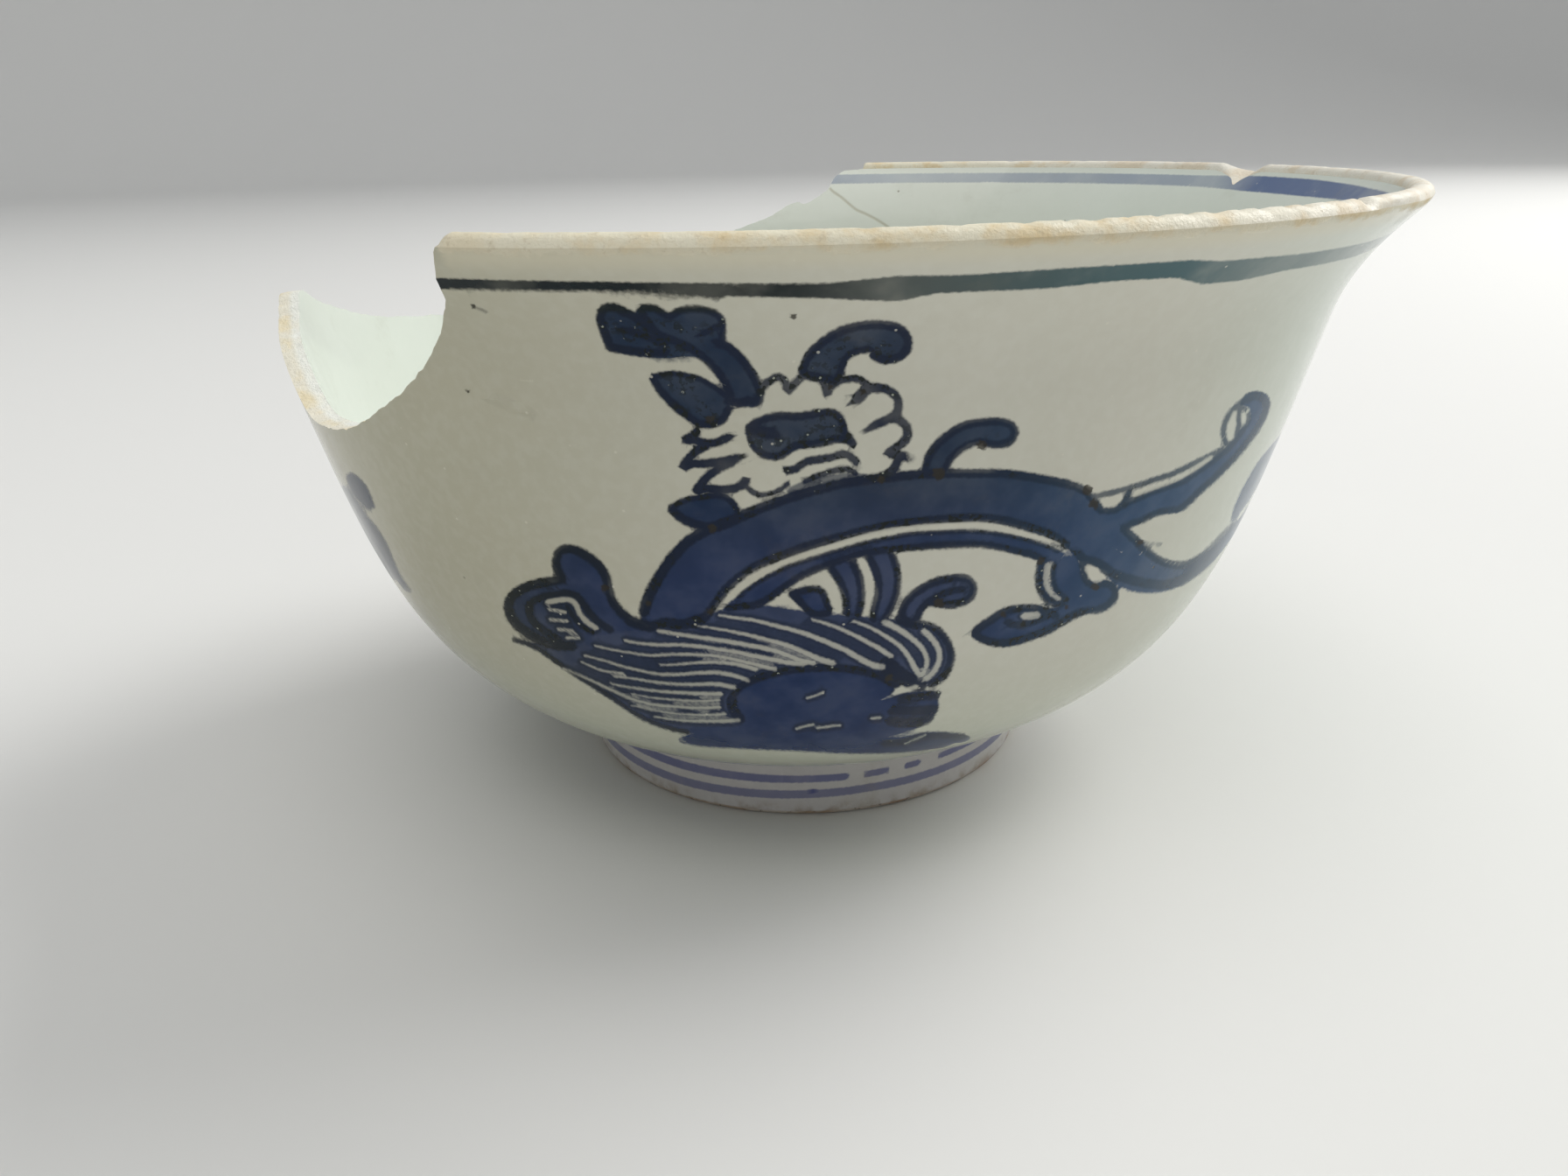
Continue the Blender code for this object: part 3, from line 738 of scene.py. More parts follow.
# Fields of thinner colour: strength, and the outline
FIELDS = {
    "horn": (0.86, [(692, 352), (705, 350), (722, 358), (733, 352), (747, 352), (765, 361), (775, 354),
        (800, 352), (820, 358), (828, 372), (824, 390), (838, 398), (852, 414), (864, 432), (870, 450),
        (864, 464), (846, 464), (832, 458), (822, 432), (806, 412), (784, 408), (760, 410), (728, 407),
        (706, 402), (694, 394), (686, 368)]),
    "leaf": (0.88, [(744, 430), (768, 425), (796, 430), (818, 441), (834, 452), (834, 470), (824, 482),
        (808, 487), (788, 478), (764, 459), (750, 443)]),
    "brow": (0.78, [(853, 488), (876, 476), (905, 474), (948, 469), (964, 478), (968, 498), (974, 508),
        (955, 504), (925, 509), (898, 519), (882, 525), (862, 515), (854, 500)]),
    "chin": (0.42, [(912, 553), (930, 546), (950, 543), (972, 541), (996, 544), (960, 553), (934, 560),
        (905, 566), (900, 560)]),
    "horn_right": (0.80, [(915, 428), (921, 410), (940, 390), (968, 376), (1000, 370), (1030, 376),
        (1040, 392), (1030, 408), (1008, 413), (992, 400), (974, 404), (964, 420), (956, 438), (935, 434)]),
    "neck_leaf": (0.92, [(765, 581), (785, 571), (815, 566), (836, 572), (845, 588), (832, 602), (806, 605),
        (782, 596)]),
    "back_curl": (0.84, [(1056, 540), (1062, 520), (1080, 500), (1104, 486), (1140, 481), (1160, 490),
        (1156, 504), (1134, 509), (1118, 504), (1098, 512), (1084, 530), (1080, 542)]),
    "body": (0.80, [(735, 712), (742, 682), (762, 648), (786, 618), (820, 600), (870, 580), (936, 560),
        (1005, 546), (1085, 541), (1164, 543), (1226, 556), (1250, 572), (1258, 584), (1276, 583),
        (1292, 574), (1306, 594), (1286, 606), (1306, 628), (1300, 648), (1290, 662), (1262, 651),
        (1246, 642), (1230, 640), (1220, 626), (1206, 614), (1172, 602), (1130, 594), (1080, 594),
        (1020, 601), (960, 614), (901, 633), (850, 656), (822, 684), (806, 706), (780, 718)]),
    "belly": (0.82, [(826, 699), (840, 684), (870, 662), (900, 648), (940, 635), (1000, 618), (1060, 609),
        (1122, 608), (1170, 616), (1210, 630), (1232, 640), (1240, 664), (1266, 664), (1276, 676),
        (1266, 694), (1244, 700), (1222, 708), (1190, 725), (1150, 738), (1120, 732), (1112, 723),
        (1136, 708), (1160, 695), (1190, 697), (1214, 690), (1206, 678), (1202, 656), (1206, 644),
        (1188, 640), (1160, 631), (1120, 623), (1050, 626), (980, 636), (930, 653), (896, 673),
        (872, 690)]),
    "leg_back": (0.80, [(1190, 638), (1186, 656), (1188, 674), (1198, 688), (1214, 692), (1216, 684),
        (1202, 676), (1197, 660), (1199, 640)]),
    "tail": (0.80, [(1282, 582), (1306, 567), (1336, 556), (1362, 543), (1390, 522), (1408, 506),
        (1418, 490), (1428, 482), (1428, 466), (1418, 462), (1426, 450), (1440, 448), (1450, 456),
        (1446, 476), (1430, 500), (1404, 532), (1370, 564), (1348, 584), (1320, 588), (1292, 600)]),
    "branch": (0.74, [(1296, 618), (1312, 630), (1336, 645), (1360, 644), (1386, 627), (1412, 598),
        (1410, 612), (1392, 634), (1370, 654), (1350, 668), (1322, 677), (1290, 674), (1266, 656)]),
    "far_leaf": (0.58, [(1408, 597), (1410, 582), (1418, 564), (1428, 545), (1440, 526), (1456, 511),
        (1456, 520), (1440, 545), (1432, 560), (1422, 582)]),
    "low_curl": (0.74, [(1030, 708), (1034, 690), (1056, 670), (1088, 660), (1108, 663), (1113, 676),
        (1100, 689), (1070, 691), (1058, 694), (1048, 710)]),
    "frond_left": (0.76, [(948, 648), (974, 642), (984, 670), (983, 702), (967, 704), (966, 680)]),
    "frond_right": (0.76, [(992, 636), (1018, 632), (1026, 660), (1020, 692), (1004, 712), (998, 706),
        (1004, 676)]),
    "lozenge": (0.85, [(904, 678), (932, 672), (942, 678), (949, 700), (936, 704), (920, 697)]),
    "fin": (0.80, [(640, 664), (634, 644), (642, 628), (662, 629), (690, 652), (698, 682), (716, 706),
        (738, 716), (712, 724), (680, 728), (664, 740), (632, 738), (598, 721), (582, 702), (582, 684),
        (604, 669)]),
    "shell": (0.72, [(590, 732), (640, 738), (668, 730), (700, 722), (740, 717), (800, 706), (822, 698),
        (870, 692), (930, 700), (1000, 706), (1050, 712), (1074, 722), (1087, 742), (1085, 764),
        (1066, 782), (1040, 780), (1012, 774), (970, 765), (910, 765), (864, 778), (840, 792), (836, 812),
        (846, 826), (830, 838), (790, 838), (744, 826), (700, 800), (650, 768), (616, 744)]),
    "mouth": (0.88, [(836, 806), (846, 786), (878, 771), (930, 763), (990, 767), (1022, 780), (1018, 794),
        (1008, 800), (1034, 792), (1064, 790), (1072, 800), (1070, 812), (1058, 826), (1032, 838),
        (990, 846), (900, 848), (850, 838), (838, 822)]),
    "base": (0.95, [(776, 846), (796, 836), (830, 830), (880, 834), (960, 832), (1020, 842), (1060, 837),
        (1086, 838), (1108, 843), (1090, 852), (1040, 859), (980, 861), (910, 858), (840, 855),
        (796, 852)]),
    "left_petal": (0.95, [(396, 543), (401, 540), (408, 544), (418, 555), (424, 568), (428, 580),
        (422, 583), (414, 576), (404, 566), (398, 554)]),
    "left_stem": (0.80, [(397, 556), (408, 572), (418, 588), (430, 602), (442, 622), (452, 646), (460, 662),
        (470, 676), (462, 674), (450, 662), (436, 642), (420, 612), (406, 588), (398, 572)]),
}

# Ends of the two shapes that run round the sides: strength, and the outline as angle and height
SIDE_FIELDS = {
    "left_end": (0.80, [(213, 0.0436), (216, 0.0415), (217, 0.0385), (216.5, 0.0350), (215, 0.0330),
        (210, 0.0316), (205, 0.0326), (203, 0.0360), (205, 0.0400), (209, 0.0428)]),
    "right_end": (0.72, [(317, 0.0338), (321, 0.0335), (325, 0.0338), (330, 0.0345), (335, 0.0356),
        (338, 0.0368), (337, 0.0378), (333, 0.0381), (328, 0.0379), (324, 0.0372), (320, 0.0364),
        (317, 0.0360)]),
    "far_leaf_end": (0.58, [(322, 0.0402), (321.6, 0.0424), (322.3, 0.0441), (324, 0.0457), (328, 0.0466),
        (332, 0.0464), (336, 0.0452), (337, 0.0434), (334, 0.0412), (330, 0.0399), (326, 0.0392),
        (323.5, 0.0390)]),
}
SIDE_FIELD_RADIUS = 0.053

# Lines fade where the wall turns from the camera, to this share of their strength
LEAST_FACING = 0.0145
FULL_FACING = 0.034
LEAST_LINE = 0.4

# Lines left white inside the colour: width, and points
RESERVES = {
    "flank": ((3, 7), [(834, 683), (846, 673), (858, 664), (870, 656), (882, 649), (900, 641), (920, 634),
        (940, 628), (960, 621), (980, 615), (1000, 610), (1020, 606), (1040, 604), (1060, 602), (1090, 601),
        (1116, 600)]),
    "flank_end": ((7, 2), [(1116, 600), (1140, 603), (1160, 608), (1180, 613), (1200, 618), (1211, 622)]),
    "tail_gap": ((4, 5), [(1296, 566), (1310, 561), (1326, 555), (1344, 548), (1360, 539), (1374, 530),
        (1384, 523)]),
    "fork_gap": ((5, 7), [(1262, 576), (1270, 573), (1279, 569)]),
    "loop_gap": ((5, 7), [(1411, 472), (1408, 482), (1407, 491), (1407, 500)]),
    "loop_eye": (5, [(1421, 473), (1421, 482)]),
    "leg": (6, [(1197, 645), (1195, 657), (1196, 669), (1201, 678), (1210, 684)]),
    "knee": ((9, 13), [(1244, 650), (1250, 656), (1254, 661)]),
    "paw": (9, [(1171, 704), (1178, 704), (1185, 703)]),
    "fin_curl": (6, [(626, 688), (638, 686), (650, 685), (658, 690), (662, 700), (670, 710), (681, 718)]),
    "fin_bar_1": (3.5, [(628, 697), (638, 698), (646, 700)]),
    "fin_bar_2": (3.5, [(629, 708), (639, 709), (648, 710)]),
    "fin_bar_3": (3.5, [(638, 719), (646, 720), (654, 721)]),
    "fin_bar_4": (3.5, [(648, 729), (655, 729), (662, 729)]),
    "stripe_1": ((3, 7), [(822, 703), (840, 706), (862, 709), (886, 715), (906, 720), (928, 727),
        (948, 735), (968, 744), (985, 754), (1000, 761), (1009, 762)]),
    "stripe_2": ((2, 7), [(796, 715), (816, 718), (838, 722), (860, 727), (880, 732), (900, 738),
        (920, 746), (938, 754), (952, 758)]),
    "stripe_3": ((4, 6), [(752, 721), (770, 724), (790, 727), (810, 730), (830, 733), (853, 737),
        (883, 743), (900, 749), (913, 754), (930, 758)]),
    "stripe_4": ((3, 6), [(928, 708), (948, 714), (968, 722), (986, 731), (1003, 740), (1018, 750)]),
    "stripe_5": ((3, 7), [(976, 710), (994, 717), (1012, 727), (1028, 738), (1038, 750), (1046, 764),
        (1052, 773)]),
    "stripe_6": ((7, 5), [(1011, 711), (1025, 718), (1040, 728), (1053, 740), (1059, 752), (1058, 764),
        (1053, 772)]),
    "stripe_7": ((7, 6), [(1056, 721), (1066, 731), (1073, 743), (1073, 756), (1067, 768), (1058, 776)]),
    "stripe_8": ((3, 6), [(714, 732), (730, 735), (752, 737), (777, 737), (802, 739), (820, 742),
        (840, 745), (863, 750), (900, 757), (918, 759)]),
    "stripe_9": ((2, 5), [(680, 738), (702, 743), (720, 746), (743, 749), (768, 748), (793, 748),
        (820, 750), (845, 755), (866, 760), (886, 765)]),
    "stripe_10": ((2, 5), [(756, 760), (780, 759), (802, 757), (824, 757), (846, 760), (864, 765)]),
    "stripe_11": ((2, 5), [(668, 749), (690, 755), (710, 761), (730, 766), (750, 770), (772, 771),
        (800, 769), (822, 769), (842, 773), (855, 778)]),
    "stripe_12": ((2, 5), [(702, 773), (727, 776), (752, 780), (777, 782), (802, 782), (820, 782),
        (840, 786)]),
    "stripe_13": ((2, 5), [(700, 782), (722, 786), (744, 789), (766, 791), (786, 792), (806, 793),
        (824, 793)]),
    "stripe_14": ((3, 4), [(644, 764), (667, 774), (687, 783), (702, 790), (720, 798), (736, 803),
        (752, 806), (777, 808), (802, 809), (822, 808)]),
    "stripe_15": ((2, 5), [(748, 819), (777, 823), (802, 824), (827, 824), (844, 823)]),
    "stripe_16": ((1.5, 3), [(664, 756), (684, 765), (698, 768), (712, 770)]),
    "stripe_17": ((1.5, 3.5), [(722, 793), (742, 797), (762, 799), (786, 801), (806, 801), (822, 800)]),
    "stripe_18": ((1.5, 3.5), [(722, 806), (744, 811), (768, 815), (792, 817), (816, 817), (828, 816)]),
    "spine_gap": ((3, 5), [(1022, 793), (1034, 789), (1047, 785)]),
    "mouth_glint": (2.5, [(922, 798), (932, 795), (941, 791)]),
    "base_glint_1": (2.5, [(910, 833), (920, 830), (930, 828)]),
    "base_glint_2": (2.5, [(934, 832), (948, 830), (960, 829)]),
    "base_glint_3": (3, [(996, 821), (1006, 820)]),
    "base_glint_4": (2.5, [(1034, 850), (1046, 845), (1058, 840)]),
}

# Iron and scorch spots: position and radius
SPOTS = [
    (907, 361, 4.0), (541, 350, 3.2), (535, 447, 2.0), (1073, 541, 7.5), (1122, 509, 6.0),
    (1007, 548, 5.0), (1243, 560, 6.5), (1250, 576, 5.5), (1189, 641, 4.5), (1252, 671, 4.5),
    (1219, 694, 3.0), (1073, 689, 6.0), (1146, 702, 4.0), (691, 672, 4.5), (1303, 620, 3.5),
    (814, 604, 5.0), (812, 478, 5.0), (741, 690, 3.5), (812, 699, 4.0), (1016, 775, 4.5),
    (986, 449, 4.0), (948, 443, 4.0),
]

# Pale scuffs of the glaze, among them painted highlights (a streak by the dent and small glints on the
# tail), and shallow dents of the glaze: width, and points
SCUFFS_AND_GLINTS = {
    "left_top": (1.6, [(586, 430), (597, 428), (607, 431)]),
    "left_low": (1.4, [(589, 438), (600, 435), (612, 437)]),
    "left_bar": (1.4, [(595, 425), (597, 433), (598, 441)]),
    # Painted highlight: the pale streak along the dent
    "by_dent": (1.4, [(561, 449), (575, 459), (592, 466)]),
    "right_high": (1.4, [(1100, 446), (1112, 451), (1125, 450)]),
    "right_low": (1.3, [(1146, 462), (1152, 470), (1161, 476)]),
    "under_tail": (1.2, [(1236, 700), (1252, 706), (1266, 704)]),
    "back_top": (1.2, [(812, 432), (818, 438), (829, 440)]),
    # Painted highlights: small pale glints on the tail
    "tail_1": (0.9, [(1241, 598), (1245, 595)]),
    "tail_2": (0.8, [(1250, 606), (1255, 604)]),
    "tail_3": (0.9, [(1270, 623), (1274, 620)]),
    "tail_4": (0.8, [(1282, 631), (1287, 629)]),
    "tail_5": (0.9, [(1289, 641), (1292, 637)]),
    "tail_6": (1.0, [(1302, 634), (1306, 630)]),
    "tail_7": (0.8, [(1311, 647), (1316, 645)]),
    "tail_8": (0.9, [(1325, 655), (1329, 652)]),
    "tail_9": (0.8, [(1312, 606), (1316, 602)]),
}
DENTS = {
    "left": (7, [(553, 451), (570, 458), (588, 465), (606, 472)]),
    "left_deep": (9, [(572, 458), (580, 461)]),
    "left_end": (5, [(603, 471), (612, 478)]),
}

# Lines that run right round the bowl: angle, height of the middle and width, or strength
LIP_BAND = [
    (60, 0.0686, 0.0011), (120, 0.0688, 0.0010), (180, 0.0687, 0.0010), (236, 0.0688, 0.0010),
    (248, 0.0687, 0.0011), (258, 0.0687, 0.0010), (267, 0.0684, 0.0012), (272, 0.0682, 0.0014),
    (274.5, 0.0682, 0.0020), (276.5, 0.0682, 0.0024), (278.5, 0.0684, 0.0016),
    (281, 0.0684, 0.0016), (286, 0.0684, 0.0018),
    (291, 0.0685, 0.0015), (296, 0.0684, 0.0016), (299, 0.0678, 0.0022), (303, 0.0677, 0.0022),
    (308, 0.0678, 0.0016), (320, 0.0677, 0.0016), (335, 0.0681, 0.0013), (360, 0.0685, 0.0011),
    (390, 0.0688, 0.0012), (420, 0.0686, 0.0011),
]
LIP_BAND_STRENGTH = [
    (60, 0.75), (230, 0.9), (250, 1.0), (268, 0.95), (275, 0.7), (285, 0.78), (296, 0.85),
    (301, 0.66), (310, 0.58), (322, 0.42), (345, 0.6), (390, 0.8), (420, 0.75),
]
FOOT_UPPER_LINE = [
    (60, 0.0054, 0.0011), (240, 0.0052, 0.0012), (270, 0.0054, 0.0010), (300, 0.0055, 0.0008),
    (420, 0.0054, 0.0011),
]
FOOT_LOWER_LINE = [
    (60, 0.0032, 0.0012), (240, 0.0028, 0.0012), (285, 0.0034, 0.0011), (420, 0.0032, 0.0012),
]
FOOT_LINE_GAPS = [(280.0, 283.5), (289.5, 293.5), (298.0, 303.0), (41.0, 47.0)]
FOOT_BLOT = (271.9, 0.0034, 0.0006)
FOOT_UPPER_STRENGTH = 0.62
FOOT_LOWER_STRENGTH = 0.52
FOOT_BLOT_STRENGTH = 0.85
INNER_BAND = [
    (60, 0.0701, 0.0018), (100, 0.0701, 0.0018), (240, 0.0702, 0.0016), (351, 0.0702, 0.0018),
    (366, 0.0702, 0.0024), (377, 0.0702, 0.0024), (386, 0.0702, 0.0018), (420, 0.0701, 0.0018),
]
INNER_BAND_STRENGTH = [
    (60, 0.30), (74, 0.26), (84, 0.36), (100, 0.36), (240, 0.55), (330, 0.62), (341, 0.50),
    (346, 0.66), (348, 0.58), (351, 0.56), (353, 0.70), (376, 0.72), (378, 0.56), (384, 0.32),
    (388, 0.36), (400, 0.38), (420, 0.30),
]

# How much height the wall gains along its length at the two bands
LIP_BAND_SLANT = 0.86
INNER_BAND_SLANT = 0.80

# The hairline crack: angle and height, and its width in picture steps
CRACK = [
    (84.6, 0.0686), (84.1, 0.0681), (82.8, 0.0672), (81.5, 0.0661), (80.2, 0.0651), (78.6, 0.0644),
    (75.8, 0.0629), (73.4, 0.0612),
]
CRACK_WIDTH = 2.2

# Shallow shells knocked off the outside of the lip: angle, drop, half length, half height, depth
SCARS = [
    (317.0, 0.0012, 0.0042, 0.0013, 0.00034),
    (320.6, 0.0017, 0.0030, 0.0012, 0.00026),
    (314.8, 0.0018, 0.0026, 0.0009, 0.00018),
]
SCAR_HOLLOW = 0.6
SCAR_RIPPLE = 0.12
SCAR_RIPPLE_TURNS = 9.0

# In picture steps: the reach of what lies nowhere near, the step of a smoothed path, how
# far round a path points are looked for, and how far outside a line or field its own
# strength still holds
FAR = -30.0
SMOOTH_STEP = 5.0
PATH_SURROUND = 26.0
LINE_MARGIN = 9.0
FIELD_MARGIN = 12.0


def smooth_path(points, closed=False):
    """Points at short steps along a soft curve through the given ones, and how far along."""
    given = np.array(points, float)
    if closed:
        given = np.vstack((given, given[:1]))
    run = np.linalg.norm(np.diff(given, axis=0), axis=1)
    knots = np.concatenate(([0.0], np.cumsum(run)))
    count = max(2, int(knots[-1] / SMOOTH_STEP))
    where = np.linspace(0.0, knots[-1], count + 1)
    if closed:
        knots_round = np.concatenate(([-run[-1]], knots, [knots[-1] + run[0]]))
        given_round = np.vstack((given[-2], given, given[1]))
        path = [spline(given_round[:, i], knots_round, where) for i in (0, 1)]
        return np.column_stack(path)[:-1], where[:-1] / knots[-1]
    path = [spline(given[:, i], knots, where) for i in (0, 1)]
    return np.column_stack(path), where / knots[-1]


def brush(width, share):
    """Width of a stroke at each share of its length."""
    if isinstance(width, tuple):
        return width[0] + (width[1] - width[0]) * share
    return np.full(len(share), float(width))


def to_segments(seen, path, values):
    """Yields for each short piece of a path the nearby points, their distances and values."""
    for i in range(len(path) - 1):
        a, b = path[i], path[i + 1]
        low = np.minimum(a, b) - PATH_SURROUND
        high = np.maximum(a, b) + PATH_SURROUND
        near = np.nonzero(((seen > low) & (seen < high)).all(axis=1))[0]
        if len(near) == 0:
            continue
        along = b - a
        t = np.clip((seen[near] - a) @ along / (along @ along), 0.0, 1.0)
        gap = np.linalg.norm(seen[near] - a - t[:, None] * along, axis=1)
        yield near, gap, values[i] + (values[i + 1] - values[i]) * t


def stroke_reach(seen, width, points):
    """How far inside a stroke each seen point lies, in picture steps."""
    path, share = smooth_path(points)
    reach = np.full(len(seen), FAR)
    for near, gap, widths in to_segments(seen, path, brush(width, share)):
        reach[near] = np.maximum(reach[near], widths / 2 - gap)
    return reach


def field_reach(seen, points):
    """How far inside a closed outline each seen point lies, in picture steps."""
    path, share = smooth_path(points, closed=True)
    loop = np.vstack((path, path[:1]))
    distance = np.full(len(seen), -FAR)
    for near, gap, zero in to_segments(seen, loop, np.zeros(len(loop))):
        distance[near] = np.minimum(distance[near], gap)
    inside = np.zeros(len(seen), bool)
    for a, b in zip(loop, loop[1:]):
        crossing = (a[1] > seen[:, 1]) != (b[1] > seen[:, 1])
        at = a[0] + (seen[:, 1] - a[1]) * (b[0] - a[0]) / (b[1] - a[1] + 1e-9)
        inside ^= crossing & (seen[:, 0] < at)
    return np.where(inside, distance, -distance)


def detail_rows(skin):
    """Extra points for the skin, so that every painted edge falls between two of them."""
    middles, borders, outers = [], [], []
    strokes = [(width, points) for width, strength, points in LINES.values()]
    for width, points in strokes + list(RESERVES.values()):
        path, share = smooth_path(points)
        along = np.gradient(path, axis=0)
        along /= np.linalg.norm(along, axis=1)[:, None] + 1e-9
        across = np.column_stack((-along[:, 1], along[:, 0]))
        half = brush(width, share)[:, None] / 2
        middles.append(path)
        for side in (-1, 1):
            borders.append(path + across * half * side)
            outers.append(path + across * (half + OUTER_DETAIL_OFF) * side)
    for strength, points in FIELDS.values():
        borders.append(smooth_path(points, closed=True)[0])
    spots = np.array([(x, y) for x, y, radius in SPOTS])
    sides = []
    for strength, outline in SIDE_FIELDS.values():
        path = smooth_path(unrolled(*np.array(outline).T), closed=True)[0] * PIXEL_ON_BOWL
        angles = np.degrees(path[:, 0] / SIDE_FIELD_RADIUS)
        sides.append(np.column_stack((angles, skin.length_at(path[:, 1]))))
    return [
        (laid_on(skin, np.vstack(middles + [spots])), DETAIL_GAP),
        (np.vstack([laid_on(skin, np.vstack(borders))] + sides), DETAIL_GAP),
        (laid_on(skin, np.vstack(outers)), OUTER_DETAIL_GAP),
    ]


def table_at(table, angles, column):
    knots = [row[0] for row in table]
    values = [row[column] for row in table]
    return np.interp((angles - SEAM) % 360.0 + SEAM, knots, values)


def band_reach(table, angles, heights, slant):
    """How far inside a band right round the bowl each point lies, in picture steps."""
    off = np.abs(heights - table_at(table, angles, 1)) / slant
    return np.clip((table_at(table, angles, 2) / 2 - off) / PIXEL_ON_BOWL, FAR, -FAR)


def unrolled(angles, heights):
    """Angles and heights on the sides of the bowl as a flat sheet, in picture steps."""
    run = np.radians(angles) * SIDE_FIELD_RADIUS
    return np.column_stack((run, heights)) / PIXEL_ON_BOWL


def painting(points, angles, lengths, skin):
    """The painted fields at every point of the outside."""
    seen = seen_at(points)
    heights = points[:, 2]
    normals = skin.normals(angles, lengths)
    towards_eye = ((EYE - points) * normals).sum(axis=1)
    facing = towards_eye > LEAST_FACING
    count = len(points)

    line_reach = np.full(count, FAR)
    line_strength = np.zeros(count)
    for width, strength, stroke in LINES.values():
        reach = np.where(facing, stroke_reach(seen, width, stroke), FAR)
        nearest = reach > np.maximum(line_reach, -LINE_MARGIN)
        line_strength = np.where(nearest, strength, line_strength)
        line_reach = np.maximum(line_reach, reach)
    line_strength *= np.interp(towards_eye, (LEAST_FACING, FULL_FACING), (LEAST_LINE, 1.0))

    field_strength = np.zeros(count)
    field_edge = np.full(count, FAR)
    for strength, outline in FIELDS.values():
        reach = np.where(facing, field_reach(seen, outline), FAR)
        stronger = (reach > 0) & (strength > field_strength)
        nearest = reach > np.maximum(field_edge, -FIELD_MARGIN)
        take = stronger | (nearest & (field_edge < 0))
        field_strength = np.where(take, strength, field_strength)
        field_edge = np.maximum(field_edge, reach)
    for strength, outline in SIDE_FIELDS.values():
        reach = field_reach(unrolled(angles, heights), unrolled(*np.array(outline).T))
        field_strength = np.where(reach > field_edge, strength, field_strength)
        field_edge = np.maximum(field_edge, reach)

    paint = {}
    for name, strokes in (("bare_reach", RESERVES), ("scuff_and_glint_reach", SCUFFS_AND_GLINTS), ("dent_reach", DENTS)):
        paint[name] = np.full(count, FAR)
        for width, stroke in strokes.values():
            reach = np.where(facing, stroke_reach(seen, width, stroke), FAR)
            paint[name] = np.maximum(paint[name], reach)
    paint["spot_reach"] = np.full(count, FAR)
    for x, y, radius in SPOTS:
        reach = np.where(facing, radius - np.hypot(seen[:, 0] - x, seen[:, 1] - y), FAR)
        paint["spot_reach"] = np.maximum(paint["spot_reach"], reach)

    band = band_reach(LIP_BAND, angles, heights, LIP_BAND_SLANT)
    band_strength = table_at(LIP_BAND_STRENGTH, angles, 1)
    paint["line_strength"] = np.where(band > line_reach, band_strength, line_strength)
    paint["line_reach"] = np.maximum(line_reach, band)
    paint["field_strength"] = field_strength
    paint["field_reach"] = field_edge
    return paint


def foot_painting(points):
    """The two thin lines round the foot ring."""
    angles = np.degrees(np.arctan2(points[:, 1], points[:, 0]))
    outer = np.hypot(points[:, 0], points[:, 1]) > FOOT_RADIUS - FOOT_BEVEL / 4
    upper = band_reach(FOOT_UPPER_LINE, angles, points[:, 2], 1.0)
    turned = angles % 360.0
    for start, end in FOOT_LINE_GAPS:
        off = np.minimum(turned - start, end - turned) * math.radians(1.0)
        upper = np.minimum(upper, -off * FOOT_RADIUS / PIXEL_ON_BOWL)
    lower = band_reach(FOOT_LOWER_LINE, angles, points[:, 2], 1.0)
    blot_run = np.radians(angle_gap(angles, FOOT_BLOT[0])) * FOOT_RADIUS
    blot = (FOOT_BLOT[2] - np.hypot(blot_run, points[:, 2] - FOOT_BLOT[1])) / PIXEL_ON_BOWL
    reach = np.maximum(np.maximum(upper, lower), np.maximum(blot, FAR))
    strength = np.where(upper > lower, FOOT_UPPER_STRENGTH, FOOT_LOWER_STRENGTH)
    strength = np.where(blot > np.maximum(upper, lower), FOOT_BLOT_STRENGTH, strength)
    return np.where(outer, reach, FAR), strength


def crack_reach(angles, heights):
    """Nearness of each point of the inside to the hairline crack."""
    run = np.radians(angle_gap(angles, CRACK[0][0])) * RIM_RADIUS
    flat = np.column_stack((run, heights)) / PIXEL_ON_BOWL
    path = np.array([(math.radians(a - CRACK[0][0]) * RIM_RADIUS, h) for a, h in CRACK])
    return stroke_reach(flat, CRACK_WIDTH, path / PIXEL_ON_BOWL)


def scarred(points, angles):
    """The points with the shallow shells of the lip sunk into them."""
    depth = np.zeros(len(points))
    for middle, drop, half_length, half_height, deepest in SCARS:
        run = np.radians(angle_gap(angles, middle)) * RIM_RADIUS / half_length
        fall = (BOWL_HEIGHT - drop - points[:, 2]) / half_height
        off = run ** 2 + fall ** 2
        ripple = 1.0 + SCAR_RIPPLE * np.cos(np.sqrt(off) * SCAR_RIPPLE_TURNS)
        hollow = np.clip(1.0 - off, 0.0, 1.0) ** SCAR_HOLLOW
        depth = np.maximum(depth, deepest * hollow * ripple)
    turn = np.radians(angles)
    sunk = points.copy()
    sunk[:, 0] -= np.cos(turn) * depth
    sunk[:, 1] -= np.sin(turn) * depth
    return sunk


# The material slots, in the order of the finishes in main
SLOT_OUTSIDE, SLOT_INSIDE, SLOT_LIP, SLOT_BREAK, SLOT_BARE_FOOT, SLOT_FOOT = range(6)

# What the mesh keeps at each point: how far inside each painted shape it lies, in picture
# steps, its distance below the edge in millimetres, whether the edge is broken there, and
# its share of the way across the edge
COBALT_LAYERS = (
    "line_reach", "line_strength", "field_reach", "field_strength", "bare_reach", "spot_reach",
)
PAINT_LAYERS = COBALT_LAYERS + (
    "crack_reach", "below_edge", "broken", "across_edge", "scuff_and_glint_reach", "dent_reach",
)
FAR_BELOW = 60.0


def plain_layers(count):
    """The layers of points with nothing painted on them, far below the edge."""
    layers = {name: np.zeros(count) for name in PAINT_LAYERS}
    for name in [name for name in PAINT_LAYERS if name.endswith("_reach")]:
        layers[name] += FAR
    layers["below_edge"] += FAR_BELOW
    return layers


